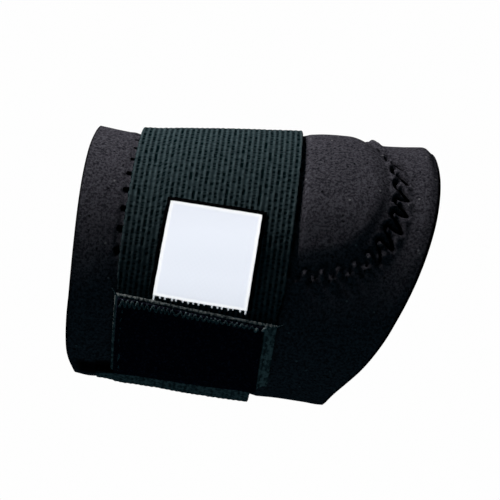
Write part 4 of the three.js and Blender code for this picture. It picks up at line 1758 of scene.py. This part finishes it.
@dataclass
class Tab:
    """The pile patch on the strap's fastening end, with its stitching.

    Margins are the elastic left bare. A row is sewn under the upper edge, a column down the wrist side.

    Attributes:
        pile_drop: How far the pile's face lies down.
        stitch_width, stitch_period: Height and length of one zigzag in the row.
        row_climb, row_taper: How much nearer to the edge, and flatter, the row is at the elbow side.
        thread_dip: How deep the thread lies at the zigzag's middle, and deeper at its turns.
        row_ends, column_ends: Distances of their ends from the patch's edges, or from the row.
        row_sunk, column_sunk: How deep they lie in the pile, and how that varies.
        knots: Name, distance from the elbow side and distance below the row of each knot.
    """

    lap: Lap
    thickness: float = 1.2
    gap: float = 0.1
    left_margin: float = 1.0
    right_margin: float = 4.4
    top_margin: float = 1.0
    low_margin: float = 0.4
    rings: int = 130
    end_round: float = 0.6
    pile: tuple[Grain, ...] = (Grain(0.11, 0.8, 21), Grain(0.09, 2.6, 22))
    pile_drop: float = 0.1
    sewn: Pair = (0.25, 1.2)
    stitch_inset: float = 1.4
    stitch_width: float = 2.2
    stitch_period: float = 1.75
    column_period: float = 2.5
    row_climb: float = 0.7
    stitch_radius: float = 0.33
    uneven: Grain = Grain(0.35, 1.4, 41)
    thread_dip: Pair = (0.08, 0.3)
    row_points: int = 1200
    column_points: int = 600
    row_ends: Pair = (0.8, 2.4)
    row_taper: float = 0.45
    row_sunk: Grain = Grain(0.17, 1.9, 45)
    row_stray: Grain = Grain(0.5, 4.0, 42)
    column_inset: float = 1.7
    column_ends: Pair = (2.0, 2.0)
    column_sunk: Pair = (0.36, 0.22)
    column_dip: Grain = Grain(0.12, 3.1, 44)
    column_stray: Grain = Grain(0.5, 4.0, 43)
    column_sway: Grain = Grain(0.35, 1.9, 46)
    knots: tuple[tuple[str, float, float], ...] = (
        ("tab_knot_inner", -2.2, 0.5),
        ("tab_knot_outer", 0.3, -0.2),
    )
    knot_half: Pair = (0.55, 0.7)
    knot_radius: float = 0.55
    knot_points: int = 13
    knot_sink: Pair = (0.1, 0.35)

    @property
    def sides(self) -> Pair:
        """The patch's wrist and elbow sides, as distances along the arm."""
        return self.lap.left + self.left_margin, self.lap.right - self.right_margin

    @property
    def length(self) -> float:
        """The patch's length down the lap."""
        return self.lap.length - self.top_margin - self.low_margin

    def place(self, x: Array, along: Array, height: Array) -> Array:
        """Points by distance along the arm, distance below the upper edge and height, in metres."""
        down = (self.top_margin + along) / self.lap.length
        return self.lap.place(x, down, self.lap.thickness + self.gap + height)

    def build(self) -> None:
        """A thin cushion of pile: a rounded strip whose outer face is roughened by two noises."""
        section = StripSection(self.thickness, outer=170, inner=24)
        share, kept = end_rounding(self.length, self.rings, self.end_round)
        left, right = self.sides
        half = (right - left) / 2.0 - self.thickness / 2.0
        x = (left + right) / 2.0 + half * section.shares + section.bulge * self.thickness / 2.0
        x = np.tile(x, (len(share), 1))
        along = np.broadcast_to(share[:, None] * self.length, x.shape)
        fine, coarse = (grain(x, along) for grain in self.pile)
        sewn = self.sewn[0] * bell(along - self.stitch_inset, self.sewn[1])
        height = section.loft(fine + coarse - self.pile_drop - sewn, kept)
        skin = Skin(self.place(x, along, height), False, cloth_uv(x, along))
        piece = dress(skin.build("tab_pile"), PileFinish().material(), Slot.PILE, ("fastener_tab",))
        flat = ((right - left) * MM, self.length * MM)

    def sew(self, name: str, spots: Triple, radius: Array, finish: ThreadFinish, sides: int) -> None:
        """Lays a thread on the patch.

        Args:
            name: The thread's name.
            spots: Distances along the arm, distances below the upper edge, and heights.
            radius: Radius at each spot.
            finish: The thread's finish.
            sides: Points round the thread.
        """
        x, along, height = spots
        path = self.place(x, along, height)
        out = unit(self.place(x, along, height + 1.0) - path)
        skin = thread(path, out, radius, sides=sides)
        dress(skin.build(name), finish.material(), Slot.ELASTIC)

    def zigzag(self, name: str, run: Array, x: Array, along: Array, zig: Array, sunk: Array) -> None:
        """A sewn zigzag on the patch.

        Args:
            name: The thread's name.
            run: Distances along the row, which vary the thread.
            x: Distances along the arm.
            along: Distances below the upper edge.
            zig: The zigzag's wave, from -1 to 1.
            sunk: How far the thread sinks into the pile.
        """
        level, dip = self.thread_dip
        height = self.thickness - level - dip * np.abs(zig) ** 6 - sunk
        radius = self.stitch_radius * (1.0 + self.uneven(run))
        self.sew(name, (x, along, height), radius, GREEN_THREAD, 6)

    def stitches(self) -> None:
        """Sews a row under the upper edge, a column down the wrist side, and the row's two knots."""
        left, right = self.sides
        run = np.linspace(left + self.row_ends[0], right - self.row_ends[1], self.row_points)
        zig = triangle(run / self.stitch_period + self.row_stray(run))
        tall = 1.0 - self.row_taper * smooth(left, right, run)
        depth = self.row_depth(run) + 0.5 * self.stitch_width * tall * zig
        self.zigzag("tab_row_thread", run, run, depth, zig, self.row_sunk.height + self.row_sunk(run))
        begin = self.stitch_inset + self.column_ends[0]
        run = np.linspace(begin, self.length - self.column_ends[1], self.column_points)
        zig = triangle(run / self.column_period + self.column_stray(run))
        sunk = self.column_sunk[0] - self.column_sunk[1] * zig + self.column_dip(run)
        x = left + self.column_inset + self.column_sway(run)
        self.zigzag("tab_column_thread", run, x, run, zig, sunk)
        for name, beside, drop in self.knots:
            self.knot(name, right + beside, drop)

    def row_depth(self, x: Array) -> Array:
        """Distance of the stitch row below the patch's edge, which it nears towards the elbow."""
        left, right = self.sides
        return self.stitch_inset - self.row_climb * (x - left) / (right - left)

    def knot(self, name: str, x: float, drop: float) -> None:
        """A short thick stitch at the end of the row.

        Args:
            name: The knot's name.
            x: Its place along the arm.
            drop: How far it lies below the row's middle.
        """
        reach = np.linspace(-1.0, 1.0, self.knot_points)
        spots = x + self.knot_half[0] * reach
        along = self.row_depth(spots) + drop - self.knot_half[1] * reach
        height = self.thickness - self.knot_sink[0] - self.knot_sink[1] * reach**4
        radius = self.knot_radius * blunt(reach)
        self.sew(name, (spots, along, height), radius, PALE_THREAD, 8)


@dataclass
class Label:
    """The blank white label on the strap, with its dark bound edge, which partly stands for painted shadow
    round the label, and a row of white stitches.

    Corners are (distance along the arm, angle round it) of the white face.

    Attributes:
        binding_and_shadow: How far the dark edge, partly painted shadow, shows on three sides.
        groove, hem: Distances from the edge, and half widths.
        edge_bulge: Reach of the rounded edges, in thicknesses.
        sway, sway_gap: Noise that the sides and the ends wander by, and where opposite edges read it.
        tick_length: Mean length of the white stitches, and how far it varies.
    """

    strap: Strap
    top_left: Pair = (-28.2, 24.6)
    top_right: Pair = (2.2, 20.8)
    low_right: Pair = (0.7, -17.8)
    low_left: Pair = (-30.5, -15.5)
    width: float = 31.0
    length: float = 33.0
    thickness: float = 0.9
    binding_and_shadow: float = 1.3
    binding_and_shadow_thickness: float = 0.6
    edge_bulge: float = 0.4
    rings: int = 90
    end_round: float = 0.45
    groove: Pair = (2.2, 0.25)
    hem: Pair = (1.0, 0.5)
    # Distances from the edge over which the painted rim highlight fades.
    rim: Pair = (0.5, 1.6)
    sway: tuple[Grain, ...] = (Grain(1.0, 1.7, 51), Grain(1.0, 1.7, 52))
    sway_gap: float = 3.0
    ticks: int = 17
    seed: int = 61
    tick_ends: Pair = (0.015, 0.985)
    tick_slip: float = 0.012
    tick_start: float = -0.5
    tick_rise: Pair = (0.85, 0.55)
    tick_radius: float = 0.34
    tick_length: Pair = (0.75, 0.3)
    tick_points: int = 9

    def place(self, across: Array, down: Array, height: Floats) -> Array:
        """Points by share across, share down and height over the strap.

        Args:
            across: 0 at the wrist side of the white face, 1 at its elbow side.
            down: 0 at its top, 1 at its bottom.
            height: Heights over the strap's outer face.

        Returns:
            Points in metres.
        """
        left = [mix(a, b, down) for a, b in zip(self.top_left, self.low_left)]
        right = [mix(a, b, down) for a, b in zip(self.top_right, self.low_right)]
        x, angle = (mix(a, b, across) for a, b in zip(left, right))
        foot = FORM.pressed_face(x, angle) + self.strap.gap + self.strap.thickness
        return FORM.place(x, angle, foot + height)

    def patch(self, spare: float, thickness: float, foot: float, hem: float, rugged: float) -> Skin:
        """A thin rounded patch.

        Args:
            spare: How far it reaches past the white face on three sides.
            thickness: Its thickness.
            foot: Height of its inner face over the strap.
            hem: Depth of the groove along the elbow side.
            rugged: How far its edges wander.

        Returns:
            Its surface, marked with its rim, where a painted highlight goes.
        """
        section = StripSection(thickness, outer=110, inner=30, edge=4)
        share, kept = end_rounding(self.length + spare, self.rings, self.end_round)
        bulge = self.edge_bulge * thickness / self.width
        shares = 0.5 + (0.5 + spare / self.width - bulge) * section.shares + bulge * section.bulge
        across = np.tile(shares, (len(share), 1))
        down = np.broadcast_to(mix(-spare / self.length, 1.0, share)[:, None], across.shape)
        u = across * self.width
        v = down * self.length
        sides, ends = self.sway
        across = across + rugged / self.width * sides(v, self.sway_gap * np.sign(shares - 0.5))
        down = down + rugged / self.length * ends(u, self.sway_gap * np.sign(down - 0.5))
        edge = np.minimum(np.minimum(u, self.width - u), np.minimum(v, self.length - v))
        groove = bell(u - (self.width - self.groove[0]), self.groove[1])
        groove = hem * (groove + 0.5 * bell(edge - self.hem[0], self.hem[1]))
        points = self.place(across, down, foot + section.loft(-groove, kept))
        return Skin(points, False, cloth_uv(u, v), {"rim": 1.0 - smooth(*self.rim, edge)})

    def build(self) -> list[Object]:
        """The white face, the dark backing under its edge, partly painted shadow round it, and the white
        stitches along its bottom.

        Returns:
            The white pieces.
        """
        face = self.patch(0.0, self.thickness, foot=0.15, hem=0.14, rugged=0.05).build("label_face")
        dress(face, LabelFinish().material(), Slot.LABEL, ("label",))
        self.length * MM
        # Dark backing past the face's edge: partly a bound edge, partly painted shadow round the label.
        edging = self.patch(self.binding_and_shadow, self.binding_and_shadow_thickness, foot=0.05, hem=0.0, rugged=0.3)
        binding_and_shadow = dress(edging.build("label_binding_and_shadow"), LABEL_EDGING_AND_SHADOW.material(), Slot.LABEL)
        flat = ((self.width + 2.0 * self.binding_and_shadow) * MM, (self.length + self.binding_and_shadow) * MM)
        return [face, *self.tick_stitches()]

    def tick_stitches(self) -> list[Object]:
        """Short white stitches over the bottom edge, longest at the corners.

        Returns:
            The stitches.
        """
        white = WHITE_THREAD.material()
        places = np.linspace(*self.tick_ends, self.ticks)
        random = np.random.default_rng(self.seed).uniform(-1.0, 1.0, (self.ticks, 2))
        reach = np.linspace(0.0, 1.0, self.tick_points)
        radius = self.tick_radius * blunt(2.0 * reach - 1.0)
        made = []
        for number, (place, (slip, stretch)) in enumerate(zip(places, random)):
            corner = 1.0 if number in (0, self.ticks - 1) else 0.0
            length = self.tick_length[0] + self.tick_length[1] * stretch + corner
            across = np.full_like(reach, place + self.tick_slip * slip * (1.0 - corner))
            down = 1.0 + mix(self.tick_start, length, reach) / self.length
            height = self.tick_rise[0] - self.tick_rise[1] * reach**2
            path = self.place(across, down, height)
            out = unit(self.place(across, down, 2.0) - self.place(across, down, 1.0))
            tick = thread(path, out, radius).build(f"label_tick_{number:02d}")
            made.append(dress(tick, white, Slot.LABEL))
        return made


# Stage, light and camera


@dataclass(frozen=True)
class Lamp:
    """One soft area light, in metres and watts, aimed at the origin."""

    name: str
    place: tuple[float, float, float]
    size: Pair
    power: float
    colour: Colour = (1.0, 1.0, 1.0)

    def build(self) -> Object:
        """Adds the light, turned to the origin.

        Returns:
            The light's object.
        """
        data = bpy.data.lights.new(self.name, "AREA")
        data.shape = "RECTANGLE"
        data.size, data.size_y = self.size
        data.energy = self.power
        data.color = self.colour
        lamp = put(self.name, data)
        lamp.location = self.place
        lamp.rotation_euler = (-Vector(self.place)).to_track_quat("-Z", "Y").to_euler()
        return lamp


@dataclass
class Studio:
    """White floor and surround, soft lights and the camera.

    Attributes:
        glow: Strength of the floor's and the surround's own light.
        air, air_strength: Colour and strength of the light from all round.
        distance: Camera's distance from the arm's axis.
        frame_width: Width of the picture at the arm's axis.
        centre: x and z of the picture's middle.
    """

    floor_z: float = -0.16
    floor_reach: float = 2.0
    floor_points: int = 9
    surround_radius: float = 6.0
    surround_points: tuple[int, int] = (49, 25)
    glow: float = 0.99
    air: Colour = (0.35, 0.75, 1.0)
    air_strength: float = 0.02
    distance: float = 0.6
    roll: float = 6.5
    frame_width: float = 0.175
    sensor: float = 36.0
    clip: Pair = (0.01, 50.0)
    centre: Pair = (-0.0006, 0.0052)
    lamps: tuple[Lamp, ...] = (
        Lamp("key_light", (-0.34, -0.03, 0.42), (0.34, 0.13), 3.6),
        Lamp("front_fill", (-0.1, -1.2, 0.1), (0.9, 0.6), 0.18, (0.25, 0.75, 1.0)),
        Lamp("floor_bounce", (0.0, -0.25, -0.8), (0.8, 0.5), 0.40, (0.42, 0.85, 1.0)),
        Lamp("back_fill", (0.2, 1.2, 0.5), (1.0, 0.8), 4.0),
    )
    label_lamp: Lamp = Lamp("label_light", (-0.1, -1.0, 0.15), (0.8, 0.8), 12.2)

    def white(self) -> Material:
        """A plain white surface that shines evenly."""
        material = bpy.data.materials.new("studio_white")
        material.use_nodes = True
        tree = material.node_tree
        tree.nodes.clear()
        glow = tree.nodes.new("ShaderNodeEmission")
        glow.inputs["Color"].default_value = (1.0, 1.0, 1.0, 1.0)
        glow.inputs["Strength"].default_value = self.glow
        end = tree.nodes.new("ShaderNodeOutputMaterial")
        tree.links.new(glow.outputs[0], end.inputs["Surface"])
        return material

    def surface(self, name: str, points: Array, material: Material) -> None:
        """Adds a grid of quads that only the camera sees.

        Args:
            name: The object's name.
            points: (rows, columns, 3) points in metres.
            material: Its material.
        """
        rows, columns = points.shape[:2]
        quads = corners(np.arange(rows * columns).reshape(rows, columns))
        mesh = bpy.data.meshes.new(name)
        mesh.from_pydata(points.reshape(-1, 3).tolist(), [], quads.reshape(-1, 4).tolist())
        mesh.materials.append(material)
        piece = put(name, mesh)
        for ray in ("diffuse", "glossy", "transmission", "shadow"):
            setattr(piece, f"visible_{ray}", False)

    def build(self) -> None:
        """Adds the stage, the lights and the camera."""
        white = self.white()
        reach = np.linspace(-self.floor_reach, self.floor_reach, self.floor_points)
        x, y = np.meshgrid(reach, reach)
        self.surface("floor", np.stack([x, y, np.full_like(x, self.floor_z)], axis=-1), white)
        around, upward = self.surround_points
        turn = np.linspace(0.0, 2.0 * np.pi, around)
        turn, rise = np.meshgrid(turn, np.linspace(-np.pi / 2, np.pi / 2, upward))
        dome = np.stack([np.cos(rise) * np.cos(turn), np.cos(rise) * np.sin(turn), np.sin(rise)], axis=-1)
        self.surface("surround", dome * self.surround_radius, white)
        for lamp in self.lamps:
            lamp.build()
        world = bpy.data.worlds.new("studio_air")
        world.use_nodes = True
        background = world.node_tree.nodes["Background"]
        background.inputs["Color"].default_value = (*self.air, 1.0)
        background.inputs["Strength"].default_value = self.air_strength
        bpy.context.scene.world = world
        bpy.context.scene.view_settings.view_transform = "Standard"
        self.camera()

    def label_light(self, pieces: list[Object]) -> None:
        """Adds a light for the label alone, which keeps it evenly white, and takes the key light off it.

        Args:
            pieces: The label's white pieces.
        """
        lamp = self.label_lamp.build()
        for light, state in ((lamp, "INCLUDE"), (bpy.data.objects["key_light"], "EXCLUDE")):
            linked = bpy.data.collections.new(f"{light.name}_receivers")
            for piece in pieces:
                linked.objects.link(piece)
            light.light_linking.receiver_collection = linked
            for entry in linked.collection_objects:
                entry.light_linking.link_state = state

    def camera(self) -> None:
        """Adds the camera, level with the arm and looking along +Y."""
        data = bpy.data.cameras.new("camera")
        data.sensor_width = self.sensor
        data.lens = self.sensor * self.distance / self.frame_width
        data.clip_start, data.clip_end = self.clip
        camera = put("camera", data)
        place = Matrix.Translation((self.centre[0], -self.distance, self.centre[1]))
        level = Matrix.Rotation(math.radians(90.0), 4, "X")
        camera.matrix_world = place @ level @ Matrix.Rotation(math.radians(self.roll), 4, "Z")
        bpy.context.scene.camera = camera


def main() -> None:
    """Builds the studio, then the pieces in order."""
    logging.basicConfig(level=logging.INFO, format="%(name)s %(message)s")
    studio = Studio()
    studio.build()
    stitch = SeamStitch()
    sleeve = Sleeve(stitch)
    sleeve.build()
    stitch.build(sleeve)
    Pad(sleeve).build()
    strap = Strap()
    strap.build()
    lap = Lap(strap)
    lap.build()
    lap.ears()
    tab = Tab(lap)
    tab.build()
    tab.stitches()
    studio.label_light(Label(strap).build())


if __name__ == "__main__":
    main()
